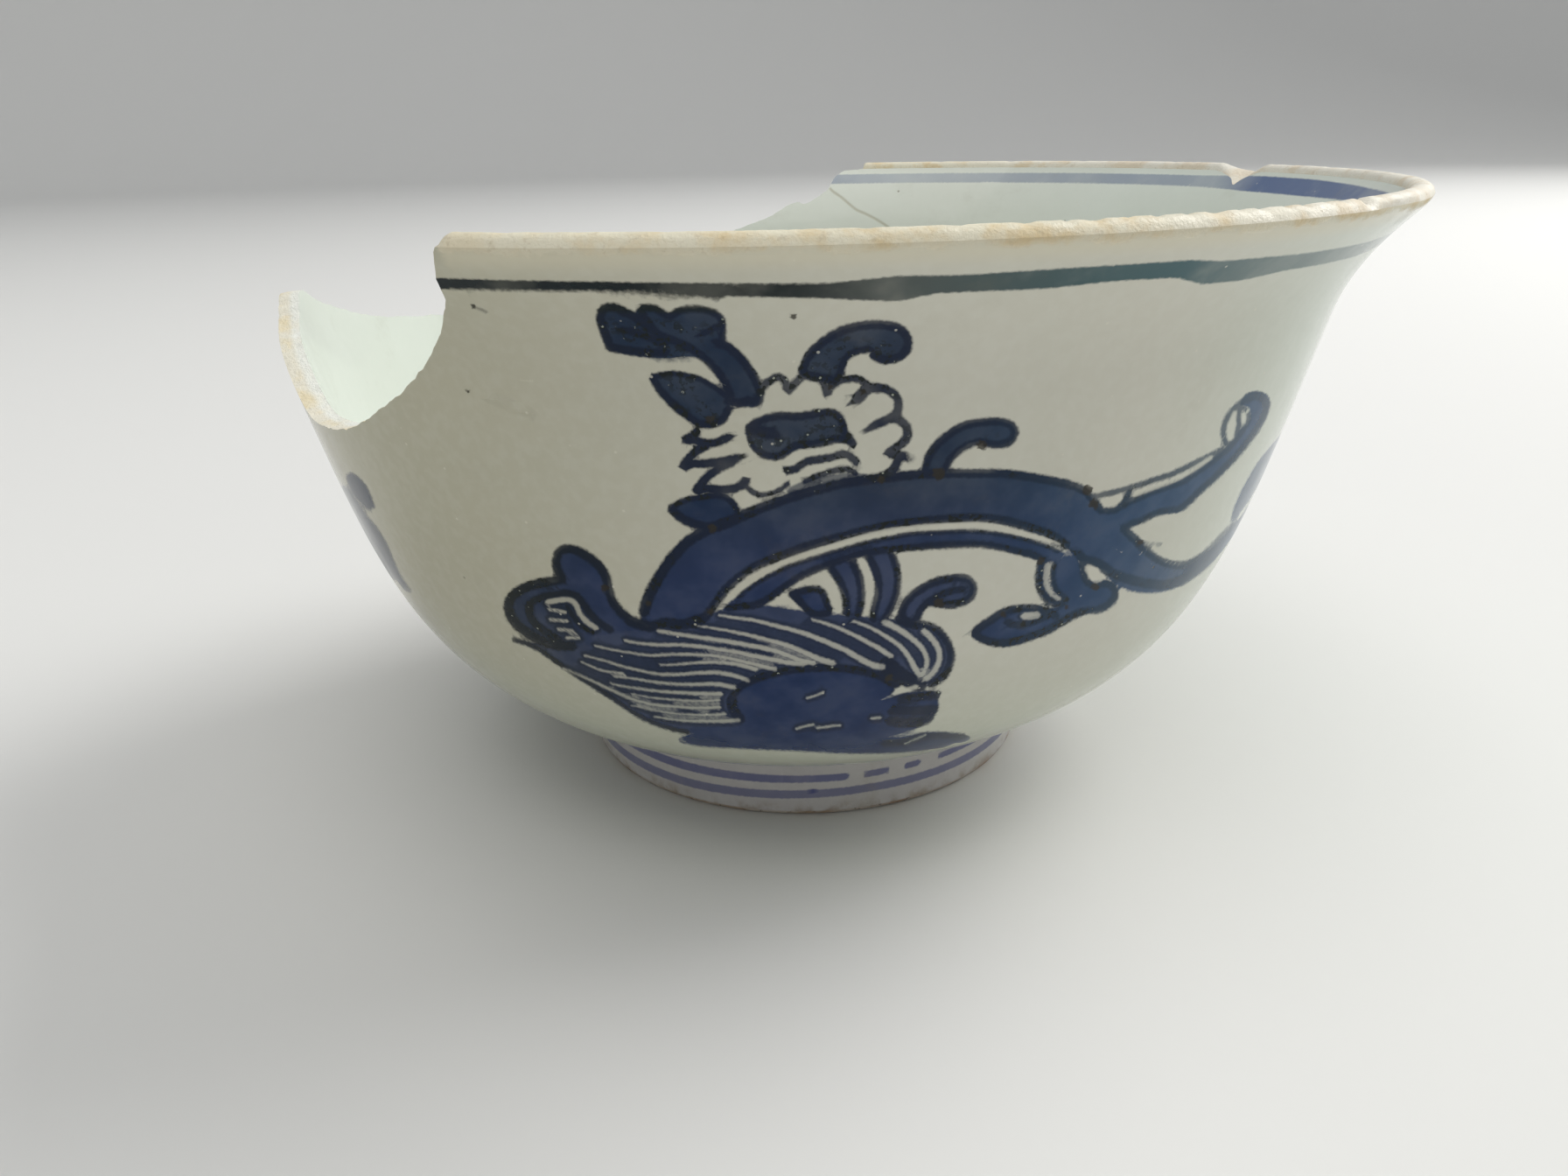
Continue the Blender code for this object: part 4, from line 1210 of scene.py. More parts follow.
def add_outside(shell, outside, edge):
    """The painted outside. Gives the point numbers of its bottom ring and of its edge."""
    at, faces, bottom, top = skin_mesh(
        outside, 0.0, evenly_round(FOOT_SEGMENTS), edge.angles, edge.outer, OUTSIDE_STEP,
        detail_rows(outside))
    angles, lengths = at[:, 0], at[:, 1]
    points = outside.place(angles, lengths)
    layers = plain_layers(len(points))
    layers.update(painting(points, angles, lengths, outside))
    layers["below_edge"] = (np.interp(angles, edge.angles, edge.outer) - lengths) * MILLIMETRES
    layers["broken"] = np.interp(angles, edge.angles, edge.broken)
    numbers = shell.add_points(scarred(points, angles), layers, outside.normals(angles, lengths))
    shell.add_faces([tuple(numbers[i] for i in face) for face in faces], SLOT_OUTSIDE, "skin")
    return [numbers[i] for i in bottom], [numbers[i] for i in top]


def add_inside(shell, inside, edge):
    """The inside down to its floor. Gives the point numbers of its bottom ring and edge."""
    at, faces, bottom, top = skin_mesh(
        inside, inside.length_to(FLOOR_RADIUS), evenly_round(FLOOR_SEGMENTS), edge.angles,
        edge.inner, INSIDE_STEP, crack_rows(inside))
    angles, lengths = at[:, 0], at[:, 1]
    points = inside.place(angles, lengths)
    heights = points[:, 2]
    layers = plain_layers(len(points))
    layers["line_reach"] = band_reach(INNER_BAND, angles, heights, INNER_BAND_SLANT)
    layers["line_strength"] = table_at(INNER_BAND_STRENGTH, angles, 1)
    layers["crack_reach"] = crack_reach(angles, heights)
    layers["below_edge"] = (np.interp(angles, edge.angles, edge.inner) - lengths) * MILLIMETRES
    layers["broken"] = np.interp(angles, edge.angles, edge.broken)
    layers["across_edge"] += 1.0
    numbers = shell.add_points(points, layers, inside.normals(angles, lengths))
    inward = [tuple(numbers[i] for i in reversed(face)) for face in faces]
    shell.add_faces(inward, SLOT_INSIDE, "skin")
    return [numbers[i] for i in bottom], [numbers[i] for i in top]


def add_edge(shell, edge, rows, outer_line, inner_line):
    """The worn and broken edge between the two skins."""
    lines = []
    for row, points in enumerate(rows):
        layers = plain_layers(len(points))
        layers["below_edge"] = np.zeros(len(points))
        layers["broken"] = edge.broken[:-1]
        layers["across_edge"] += (row + 1.0) / (len(rows) + 1.0)
        lines.append(shell.add_points(points, layers))
    broken = edge.broken[:-1] > 0.5
    previous = outer_line
    for line in lines + [inner_line]:
        quads = ring_faces(line, previous)
        shell.add_faces([q for q, b in zip(quads, broken) if b], SLOT_BREAK, "edge")
        shell.add_faces([q for q, b in zip(quads, broken) if not b], SLOT_LIP, "edge")
        previous = line


def add_floor(shell, inside, ring):
    """The floor inside, from the bottom ring of the inside in to the axis."""
    angles = evenly_round(FLOOR_SEGMENTS)[:-1]
    for share in np.linspace(1.0, 0.0, FLOOR_RINGS + 1)[1:-1]:
        lengths = np.full(len(angles), inside.length_to(FLOOR_RADIUS) * share)
        points = inside.place(angles, lengths)
        normals = inside.normals(angles, lengths)
        smaller = shell.add_points(points, plain_layers(len(points)), normals)
        shell.add_faces(ring_faces(smaller, ring), SLOT_INSIDE, "skin")
        ring = smaller
    middle = np.array([[0.0, 0.0, inside.z[0]]])
    number = shell.add_points(middle, plain_layers(1), np.array([[0.0, 0.0, 1.0]]))[0]
    shell.add_faces(fan_faces(ring, number), SLOT_INSIDE, "skin")


def add_foot(shell, ring):
    """The foot ring and the underside, from the bottom ring of the outside in to the axis."""
    outer_rows, corner_rows, base_rows = foot_profile()
    slots = [SLOT_FOOT] * (len(outer_rows) + 1) + [SLOT_BARE_FOOT] * (len(corner_rows) - 1)
    slots += [SLOT_FOOT] * len(base_rows)
    rows = ring_rows(outer_rows + corner_rows + base_rows, FOOT_SEGMENTS)
    for slot, points in zip(slots, rows):
        layers = plain_layers(len(points))
        layers["line_reach"], layers["line_strength"] = foot_painting(points)
        lower = shell.add_points(points, layers)
        shell.add_faces(ring_faces(ring, lower), slot, "foot")
        ring = lower
    middle = np.array([[0.0, 0.0, BASE_RECESS - BASE_DOME]])
    number = shell.add_points(middle, plain_layers(1))[0]
    shell.add_faces([(b, a, m) for a, b, m in fan_faces(ring, number)], SLOT_FOOT, "foot")


def bowl_shell():
    """The whole surface of the bowl, with what is painted on it at each point."""
    outer_points, shares = outer_profile()
    outside = Skin(outer_points, 1.0)
    inside = Skin(inner_profile(outer_points, shares), -1.0)
    edge = Edge(outside, inside)
    shell = Shell()
    outer_bottom, outer_line = add_outside(shell, outside, edge)
    inner_bottom, inner_line = add_inside(shell, inside, edge)
    add_edge(shell, edge, edge_grid(edge, outside, inside), outer_line, inner_line)
    add_floor(shell, inside, inner_bottom)
    add_foot(shell, outer_bottom)
    return shell


def crack_rows(skin):
    """Extra points along the hairline crack."""
    angles = np.array([angle for angle, height in CRACK])
    heights = np.array([height for angle, height in CRACK])
    where = np.linspace(0.0, len(CRACK) - 1.0, CRACK_SAMPLES)
    path = np.column_stack((
        np.interp(where, np.arange(len(CRACK)), angles),
        skin.length_at(np.interp(where, np.arange(len(CRACK)), heights)),
    ))
    beside = [path + np.array((0.0, off)) for off in (-BESIDE_CRACK, BESIDE_CRACK)]
    return [(path, DETAIL_GAP), (np.vstack(beside), DETAIL_GAP)]


def without_loose(points, normals, faces, layers):
    """The same surface without the points that no face uses."""
    used = np.zeros(len(points), dtype=bool)
    used[[i for face in faces for i in face]] = True
    new_place = (np.cumsum(used) - 1).tolist()
    faces = [tuple(new_place[i] for i in face) for face in faces]
    layers = {name: values[used] for name, values in layers.items()}
    return points[used], normals[used], faces, layers


def group_normals(points, faces):
    """Normals of one group of faces at its own points, averaged over the group alone."""
    total = np.zeros_like(points)
    for face in faces:
        a, b, c = points[face[0]], points[face[1]], points[face[2]]
        normal = np.cross(b - a, c - a)
        if len(face) == 4:
            normal = normal + np.cross(c - a, points[face[3]] - a)
        for i in face:
            total[i] += normal
    length = np.linalg.norm(total, axis=1)
    return total / np.maximum(length, 1e-20)[:, None]


def make_bowl(shell, materials):
    """The mesh object, with true normals on its turned skins."""
    layers = {name: np.concatenate(parts) for name, parts in shell.layers.items()}
    points, exact, faces, layers = without_loose(
        np.vstack(shell.points), np.vstack(shell.normals), shell.faces, layers)
    mesh = bpy.data.meshes.new("bowl_body")
    mesh.from_pydata((points + np.array(AXIS)).tolist(), [], faces)
    for material in materials:
        mesh.materials.append(material)
    mesh.polygons.foreach_set("material_index", shell.slots)
    mesh.shade_smooth()
    for name, values in layers.items():
        layer = mesh.attributes.new(name, "FLOAT", "POINT")
        layer.data.foreach_set("value", values.astype(np.float32))
    own = {}
    for group in ("edge", "foot"):
        chosen = [face for face, g in zip(faces, shell.groups) if g == group]
        own[group] = group_normals(points, chosen)
    corner_normals = []
    for face, group in zip(faces, shell.groups):
        source = exact if group == "skin" else own[group]
        corner_normals.extend(source[i] for i in face)
    mesh.normals_split_custom_set([tuple(n) for n in corner_normals])
    bowl = bpy.data.objects.new("bowl_body", mesh)
    bpy.context.scene.collection.objects.link(bowl)
    return bowl


class Nodes:
    """A node tree that is being built, with short ways to add the common nodes."""

    def __init__(self, tree):
        self.tree = tree

    def add(self, kind, **settings):
        node = self.tree.nodes.new(kind)
        for name, setting in settings.items():
            setattr(node, name, setting)
        return node

    def feed(self, socket, value):
        """Links an output to a socket, or sets the socket to a value or a colour."""
        if isinstance(value, bpy.types.NodeSocket):
            self.tree.links.new(value, socket)
        else:
            socket.default_value = (*value, 1.0) if isinstance(value, tuple) else value

    def math(self, operation, first, second, clamp=False):
        node = self.add("ShaderNodeMath", operation=operation, use_clamp=clamp)
        self.feed(node.inputs[0], first)
        self.feed(node.inputs[1], second)
        return node.outputs[0]

    def times(self, first, second):
        return self.math("MULTIPLY", first, second)

    def minus(self, first, second, clamp=False):
        return self.math("SUBTRACT", first, second, clamp)

    def mix(self, share, first, second):
        node = self.add("ShaderNodeMix", data_type="RGBA")
        self.feed(node.inputs[0], share)
        self.feed(node.inputs[6], first)
        self.feed(node.inputs[7], second)
        return node.outputs[2]

    def scale_and_add(self, value, factor, base):
        """The value times a factor, with the base added."""
        node = self.add("ShaderNodeMath", operation="MULTIPLY_ADD")
        for socket, part in zip(node.inputs, (value, factor, base)):
            self.feed(socket, part)
        return node.outputs[0]

    def step(self, value, low, high, bottom=0.0, top=1.0):
        """A soft step from bottom to top as the value goes from low to high."""
        node = self.add("ShaderNodeMapRange", interpolation_type="SMOOTHSTEP")
        for socket, part in zip(node.inputs, (value, low, high, bottom, top)):
            self.feed(socket, part)
        return node.outputs[0]

    def place(self):
        return self.add("ShaderNodeTexCoord").outputs["Object"]

    def along(self, axis):
        """How far along X, Y or Z each place lies, in metres."""
        node = self.add("ShaderNodeSeparateXYZ")
        self.feed(node.inputs[0], self.place())
        return node.outputs[axis]

    def noise(self, size, detail=2.0, roughness=0.5, stretch=(1.0, 1.0, 1.0)):
        """Soft noise whose features are about the given size, in metres."""
        scaled = self.add("ShaderNodeMapping")
        self.feed(scaled.inputs["Vector"], self.place())
        scaled.inputs["Scale"].default_value = [1.0 / (size * part) for part in stretch]
        node = self.add("ShaderNodeTexNoise")
        self.feed(node.inputs["Vector"], scaled.outputs[0])
        node.inputs["Scale"].default_value = 1.0
        node.inputs["Detail"].default_value = detail
        node.inputs["Roughness"].default_value = roughness
        return node.outputs[0]

    def scattered(self, spacing, outer, inner, rarity):
        """Small round spots at scattered places, where this share of the places stays empty."""
        node = self.add("ShaderNodeTexVoronoi")
        self.feed(node.inputs["Vector"], self.place())
        node.inputs["Scale"].default_value = 1.0 / spacing
        spot = self.step(node.outputs["Distance"], outer, inner)
        chance = self.add("ShaderNodeSeparateColor")
        self.feed(chance.inputs[0], node.outputs["Color"])
        return self.times(spot, self.step(chance.outputs[0], rarity, rarity + 0.02))

    def layer(self, name):
        """A value that the mesh keeps at each of its points."""
        return self.add("ShaderNodeAttribute", attribute_name=name).outputs["Fac"]

    def group(self, tree, **values):
        node = self.add("ShaderNodeGroup", node_tree=tree)
        for name, value in values.items():
            self.feed(node.inputs[name.replace("_", " ").capitalize()], value)
        return node.outputs


def new_group(name, inputs, outputs):
    """An empty node group with named sockets: COLOUR or VALUE each."""
    tree = bpy.data.node_groups.new(name, "ShaderNodeTree")
    for sockets, way in ((inputs, "INPUT"), (outputs, "OUTPUT")):
        for socket, kind in sockets.items():
            tree.interface.new_socket(name=socket, in_out=way, socket_type=kind)
    nodes = Nodes(tree)
    given = nodes.add("NodeGroupInput").outputs
    result = nodes.add("NodeGroupOutput").inputs
    return tree, nodes, given, result


COLOUR = "NodeSocketColor"
VALUE = "NodeSocketFloat"

GLAZE_IOR = 1.46
GLAZE_SPECULAR = 0.22

# The tints of the white. The darker olive left is painted shade with warm light, the mint
# right is a painted reflection of green surroundings, and the darker low part is painted
# shade. A TO_ name says where a step begins and where it is full, in metres along X or of
# height, and where it has four values, its lowest and highest value
LEFT_PAINTED_SHADE = (0.490, 0.470, 0.350)
MIDDLE_TINT = (0.630, 0.620, 0.535)
RIGHT_PAINTED_REFLECTION = (0.575, 0.655, 0.575)
LOW_PAINTED_SHADE = (0.440, 0.480, 0.375)
TO_LEFT_PAINTED_SHADE, TO_RIGHT_PAINTED_REFLECTION = (0.012, -0.048), (0.022, 0.060)
TO_LOW_PAINTED_SHADE = (0.036, 0.012, 0.0, 0.75)
CLOUD_SIZE = 0.016
CLOUD_COLOUR = (0.50, 0.52, 0.42)
MOTTLE_SIZE = 0.0011
MOTTLE_COLOUR = (0.80, 0.82, 0.76)


def glazed_white_group():
    """The white body seen through its glaze, blended from left, middle, right and low colours that carry
    painted light, shade and reflection.
    """
    inputs = {"Left": COLOUR, "Middle": COLOUR, "Right": COLOUR, "Low": COLOUR}
    tree, nodes, given, result = new_group("glazed_white", inputs, {"Color": COLOUR})
    across = nodes.along("X")
    colour = nodes.mix(nodes.step(across, *TO_LEFT_PAINTED_SHADE), given["Middle"], given["Left"])
    colour = nodes.mix(nodes.step(across, *TO_RIGHT_PAINTED_REFLECTION), colour, given["Right"])
    colour = nodes.mix(nodes.step(nodes.along("Z"), *TO_LOW_PAINTED_SHADE), colour, given["Low"])
    cloud = nodes.step(nodes.noise(CLOUD_SIZE, 3.0), 0.30, 0.70, 0.0, 0.11)
    mottle = nodes.step(nodes.noise(MOTTLE_SIZE, 2.0), 0.35, 0.75, 0.0, 0.09)
    colour = nodes.mix(cloud, colour, CLOUD_COLOUR)
    nodes.feed(result["Color"], nodes.mix(mottle, colour, MOTTLE_COLOUR))
    return tree


# The cobalt: sizes in metres, and wavers and edges in picture steps
LINE_DEPTH = 1.7
WASH_DEPTH = 2.5
WAVER_SIZE = 0.00042
POOL_SIZE = 0.0046
LINE_WAVER, FIELD_WAVER, BARE_WAVER, SPOT_WAVER = 3.2, 3.0, 2.4, 7.0
LINE_EDGE, FIELD_EDGE, BARE_EDGE, SPOT_EDGE = (-2.4, 1.6), (-2.6, 1.4), (-1.8, 1.8), (-1.5, 1.5)
BARE_RIM = (-6.5, -2.0)
BARE_RIM_STRENGTH = 0.70
BARE_CLEARNESS = 0.74
POOLED_INK = 0.30
HEAP_SIZE, CLUSTER_SIZE = 0.00062, 0.0052
HEAP_COLOUR = (0.006, 0.010, 0.007)
GLINT_SPACING = 0.00052
GLINT_COLOUR = (0.42, 0.45, 0.38)
SPOT_STRENGTH = 0.86
SPOT_COLOUR = (0.026, 0.022, 0.015)


def deepened(nodes, strength, depth):
    """How much of the ground a layer of colour hides: more than its strength, as ink does."""
    clear = nodes.minus(1.0, strength, clamp=True)
    return nodes.minus(1.0, nodes.math("POWER", clear, depth))


def cobalt_group():
    """Brushed cobalt blue under the glaze: thin washes, and dark lines over them."""
    inputs = {
        "Ground": COLOUR, "Line": COLOUR, "Wash": COLOUR, "Line reach": VALUE,
        "Line strength": VALUE, "Field reach": VALUE, "Field strength": VALUE,
        "Bare reach": VALUE, "Spot reach": VALUE, "Heaps": VALUE, "Wash heaps": VALUE,
    }
    tree, nodes, given, result = new_group("cobalt_painting", inputs, {"Color": COLOUR})
    waver = nodes.minus(nodes.noise(WAVER_SIZE, 2.0), 0.5)
    pool = nodes.noise(POOL_SIZE, 3.0, 0.55)

    line = nodes.step(nodes.scale_and_add(waver, LINE_WAVER, given["Line reach"]), *LINE_EDGE)
    line = nodes.times(line, deepened(nodes, given["Line strength"], LINE_DEPTH))
    line = nodes.times(line, nodes.step(pool, 0.25, 0.6, 0.88, 1.0))

    field = nodes.step(nodes.scale_and_add(waver, FIELD_WAVER, given["Field reach"]), *FIELD_EDGE)
    field = nodes.times(field, deepened(nodes, given["Field strength"], WASH_DEPTH))
    field = nodes.times(field, nodes.step(pool, 0.25, 0.65, 0.955, 1.0))

    bare_reach = nodes.scale_and_add(waver, BARE_WAVER, given["Bare reach"])
    bare = nodes.step(bare_reach, *BARE_EDGE)
    rim = nodes.minus(nodes.step(bare_reach, *BARE_RIM), bare, clamp=True)
    painted = nodes.minus(1.0, nodes.times(bare, BARE_CLEARNESS))

    pooled = nodes.step(pool, 0.36, 0.72, 0.0, POOLED_INK)
    wash = nodes.mix(pooled, given["Wash"], given["Line"])
    field = nodes.times(field, painted)
    colour = nodes.mix(field, given["Ground"], wash)
    border = nodes.times(nodes.times(rim, field), BARE_RIM_STRENGTH)
    line = nodes.times(line, painted)
    line = nodes.math("MAXIMUM", line, border)
    colour = nodes.mix(line, colour, given["Line"])

    heap = nodes.step(nodes.noise(HEAP_SIZE, 2.0, 0.6), 0.50, 0.58)
    cluster = nodes.step(nodes.noise(CLUSTER_SIZE, 2.0), 0.46, 0.56)
    thick = nodes.math("MAXIMUM", line, nodes.times(field, given["Wash heaps"]))
    heap = nodes.times(nodes.times(heap, cluster), nodes.step(thick, 0.5, 0.95))
    heap = nodes.times(heap, given["Heaps"])
    colour = nodes.mix(heap, colour, HEAP_COLOUR)
    glint = nodes.scattered(GLINT_SPACING, 0.28, 0.16, 0.66)
    glint = nodes.times(glint, nodes.step(heap, 0.1, 0.6, 0.0, 0.8))
    colour = nodes.mix(glint, colour, GLINT_COLOUR)

    spot_reach = nodes.scale_and_add(waver, SPOT_WAVER, given["Spot reach"])
    spot = nodes.step(spot_reach, *SPOT_EDGE, 0.0, SPOT_STRENGTH)
    nodes.feed(result["Color"], nodes.mix(spot, colour, SPOT_COLOUR))
    return tree


# The skin of the glaze and the bare body: sizes and heights in metres
SMEAR_SIZE = 0.012
SCRATCH_SIZE = 0.0007
SCRATCH_STRETCH = (1.0, 1.0, 14.0)
PIT_SPACING, PIT_DEPTH, PIT_ROUGHNESS = 0.0052, 0.00004, 0.3
PEEL_SIZE, PEEL_HEIGHT = 0.0045, 0.000050
FINE_PEEL_SIZE, FINE_PEEL_HEIGHT = 0.0009, 0.0000035
STAIN_SIZE = 0.0052
DIRT_SIZE = 0.00085
GRAIN_SIZE, GRAIN_HEIGHT = 0.00035, 0.00011


def glaze_skin_group():
    """The skin of the glaze: its gloss, with pits, faint scratches and a soft orange peel."""
    outputs = {"Roughness": VALUE, "Height": VALUE, "Pit": VALUE}
    tree, nodes, given, result = new_group("glaze_skin", {"Gloss": VALUE, "Wear": VALUE}, outputs)
    smear = nodes.step(nodes.noise(SMEAR_SIZE, 4.0, 0.6), 0.42, 0.72, 0.0, 0.10)
    scratch_run = nodes.noise(SCRATCH_SIZE, 1.0, 0.5, SCRATCH_STRETCH)
    scratch = nodes.step(scratch_run, 0.715, 0.74, 0.0, 0.30)
    scratch = nodes.times(scratch, given["Wear"])
    roughness = nodes.math("ADD", nodes.math("ADD", given["Gloss"], smear), scratch)
    pit = nodes.scattered(PIT_SPACING, 0.050, 0.028, 0.60)
    peel = nodes.times(nodes.noise(PEEL_SIZE, 1.0), PEEL_HEIGHT)
    fine_peel = nodes.times(nodes.noise(FINE_PEEL_SIZE, 1.0), FINE_PEEL_HEIGHT)
    peel = nodes.math("ADD", peel, fine_peel)
    height = nodes.minus(peel, nodes.times(pit, PIT_DEPTH))
    roughness = nodes.math("ADD", roughness, nodes.times(pit, PIT_ROUGHNESS))
    nodes.feed(result["Roughness"], roughness)
    nodes.feed(result["Height"], height)
    nodes.feed(result["Pit"], pit)
    return tree


def bare_body_group():
    """Bare porcelain where the glaze is gone, stained and dirty in patches."""
    inputs = {"Clean": COLOUR, "Stain": COLOUR, "Dirt": COLOUR, "Stained": VALUE, "Soiled": VALUE}
    tree, nodes, given, result = new_group("bare_body", inputs, {"Color": COLOUR, "Height": VALUE})
    patch = nodes.step(nodes.noise(STAIN_SIZE, 4.0, 0.62), 0.44, 0.66)
    patch = nodes.times(patch, given["Stained"])
    colour = nodes.mix(patch, given["Clean"], given["Stain"])
    speck = nodes.step(nodes.noise(DIRT_SIZE, 3.0, 0.65), 0.57, 0.70)
    colour = nodes.mix(nodes.times(speck, given["Soiled"]), colour, given["Dirt"])
    grain = nodes.times(nodes.noise(GRAIN_SIZE, 3.0, 0.7), GRAIN_HEIGHT)
    nodes.feed(result["Color"], colour)
    nodes.feed(result["Height"], grain)
    return tree


GRIME_SIZE = 0.0075
GRIME_COLOUR = (0.30, 0.26, 0.17)
SPECK_SPACING = 0.0019
SPECK_COLOUR = (0.72, 0.70, 0.60)


def dust_group():
    """Pale specks of dust and dull grime that settled on the glaze."""
    inputs = {"Base": COLOUR, "Specks": VALUE, "Grime": VALUE}
    tree, nodes, given, result = new_group("dust", inputs, {"Color": COLOUR})
    grime = nodes.step(nodes.noise(GRIME_SIZE, 5.0, 0.65), 0.55, 0.80)
    grime = nodes.times(grime, given["Grime"])
    colour = nodes.mix(grime, given["Base"], GRIME_COLOUR)
    speck = nodes.scattered(SPECK_SPACING, 0.090, 0.050, 0.78)
    speck = nodes.times(speck, given["Specks"])
    nodes.feed(result["Color"], nodes.mix(speck, colour, SPECK_COLOUR))
    return tree


def new_material(name, roughness, ior=1.5, specular=0.5):
    """A material with its shader, and the tree to build its nodes in."""
    material = bpy.data.materials.new(name)
    material.use_nodes = True
    nodes = Nodes(material.node_tree)
    shader = material.node_tree.nodes["Principled BSDF"]
    shader.inputs["Roughness"].default_value = roughness
    shader.inputs["IOR"].default_value = ior
    shader.inputs["Specular IOR Level"].default_value = specular
    return material, nodes, shader.inputs


def raise_surface(nodes, shader, height):
    """Bumps the surface by a height in metres."""
    bump = nodes.add("ShaderNodeBump")
    bump.inputs["Strength"].default_value = 1.0
    bump.inputs["Distance"].default_value = 1.0
    nodes.feed(bump.inputs["Height"], height)
    nodes.feed(shader["Normal"], bump.outputs[0])


# The outside's colours, and where each takes over along X or with height
WASH_LOW, WASH_HIGH = (0.0030, 0.0230, 0.098), (0.0050, 0.0230, 0.062)
WASH_TAIL, WASH_LEFT = (0.002, 0.058, 0.155), (0.0070, 0.0230, 0.054)
LINE_LEFT, LINE_MIDDLE = (0.004, 0.010, 0.014), (0.004, 0.012, 0.036)
LINE_TAIL = (0.008, 0.046, 0.090)
BAND_LEFT, BAND_RIGHT = (0.003, 0.010, 0.013), (0.012, 0.080, 0.100)
TO_TAIL = (0.004, 0.040)
TO_HIGH = (0.042, 0.054)
TO_MIDDLE = (-0.034, -0.010)
TO_BAND_RIGHT = (-0.006, 0.028)
TO_BAND = (0.0663, 0.0669)
TO_LEFT = (-0.018, -0.040)
HEAPS_ACROSS = (0.018, 0.034, 0.9, 0.10)
HEAPS_UP = (0.0665, 0.0655)
WASH_HEAPS_UP = (0.050, 0.055, 0.0, 0.8)
PIT_COLOUR = (0.16, 0.13, 0.09)

# The wear below the lip: distances below the edge are in millimetres
RAGGED_SIZE, RAGGED_REACH, RAGGED_START = 0.0040, 2.6, 0.75
WORN_EDGE = (-0.35, 0.45)
THIN_GLAZE = (3.0, 0.7, 0.0, 0.62)
THIN_COLOUR = (0.70, 0.655, 0.50)
TO_STAINED = (-0.034, -0.004)
SCUFF_AND_GLINT_WAVER, SCUFF_AND_GLINT_EDGE = 3.0, (0.4, 2.4)
SCUFF_AND_GLINT_COLOUR = (0.70, 0.68, 0.57)
DENT_EDGE, DENT_DEPTH = (-5.0, 5.0), 0.00022


def outer_colours(nodes, across, up):
    """Colours of the wash and the line, which change from left to right and with height. The darker, less
    blue colours on the left are partly painted shade.
    """
    tail = nodes.step(across, *TO_TAIL)
    wash = nodes.mix(nodes.step(up, *TO_HIGH), WASH_LOW, WASH_HIGH)
    wash = nodes.mix(tail, wash, WASH_TAIL)
    wash = nodes.mix(nodes.step(across, *TO_LEFT), wash, WASH_LEFT)
    line = nodes.mix(nodes.step(across, *TO_MIDDLE), LINE_LEFT, LINE_MIDDLE)
    line = nodes.mix(tail, line, LINE_TAIL)
    band = nodes.mix(nodes.step(across, *TO_BAND_RIGHT), BAND_LEFT, BAND_RIGHT)
    return wash, nodes.mix(nodes.step(up, *TO_BAND), line, band)


def glaze_outside(groups):
    """The painted outside, with the worn glaze below its lip."""
    material, nodes, shader = new_material("glaze_outside", 0.12, GLAZE_IOR, GLAZE_SPECULAR)
    across, up = nodes.along("X"), nodes.along("Z")
    # The ground: the darker olive left and the darker low part are painted shade, the mint right a painted
    # reflection
    ground = nodes.group(
        groups["white"], left=LEFT_PAINTED_SHADE, middle=MIDDLE_TINT, right=RIGHT_PAINTED_REFLECTION, low=LOW_PAINTED_SHADE)["Color"]
    wash, line = outer_colours(nodes, across, up)
    heaps = nodes.times(nodes.step(across, *HEAPS_ACROSS), nodes.step(up, *HEAPS_UP))
    cobalt_layers = {name: nodes.layer(name) for name in COBALT_LAYERS}
    paint = nodes.group(
        groups["cobalt"], ground=ground, line=line, wash=wash, heaps=heaps,
        wash_heaps=nodes.step(up, *WASH_HEAPS_UP), **cobalt_layers)["Color"]
    colour = nodes.group(groups["dust"], base=paint, specks=0.55, grime=0.10)["Color"]
    skin = nodes.group(groups["skin"], gloss=0.10, wear=0.12)
    colour = nodes.mix(nodes.times(skin["Pit"], 0.7), colour, PIT_COLOUR)

    below = nodes.layer("below_edge")
    ragged = nodes.times(nodes.noise(RAGGED_SIZE, 4.0, 0.65), RAGGED_REACH)
    worn = nodes.minus(nodes.minus(ragged, RAGGED_START), below)
    whole = nodes.step(nodes.layer("broken"), 0.8, 0.1)
    worn = nodes.times(nodes.step(worn, *WORN_EDGE), whole)
    thin = nodes.times(nodes.step(below, *THIN_GLAZE), whole)
    colour = nodes.mix(thin, colour, THIN_COLOUR)
    bare = nodes.group(
        groups["bare"], clean=(0.72, 0.67, 0.52), stain=(0.64, 0.50, 0.28),
        dirt=(0.44, 0.34, 0.20), stained=nodes.step(across, *TO_STAINED, 0.15, 0.75),
        soiled=0.25)
    colour = nodes.mix(worn, colour, bare["Color"])
    # Pale scuffs, and painted highlights by the dent and on the tail
    scuff_and_glint = nodes.scale_and_add(nodes.noise(0.0005, 2.0), SCUFF_AND_GLINT_WAVER, nodes.layer("scuff_and_glint_reach"))
    scuff_and_glint = nodes.step(scuff_and_glint, *SCUFF_AND_GLINT_EDGE)
    colour = nodes.mix(nodes.times(scuff_and_glint, 0.8), colour, SCUFF_AND_GLINT_COLOUR)
    nodes.feed(shader["Base Color"], colour)
    roughness = nodes.math("MAXIMUM", skin["Roughness"], nodes.times(worn, 0.62))
    roughness = nodes.math("MAXIMUM", roughness, nodes.times(scuff_and_glint, 0.5))
    nodes.feed(shader["Roughness"], roughness)
    height = nodes.math("ADD", skin["Height"], nodes.times(worn, bare["Height"]))
    dent = nodes.times(nodes.step(nodes.layer("dent_reach"), *DENT_EDGE), DENT_DEPTH)
    raise_surface(nodes, shader, nodes.minus(height, dent))
    return material


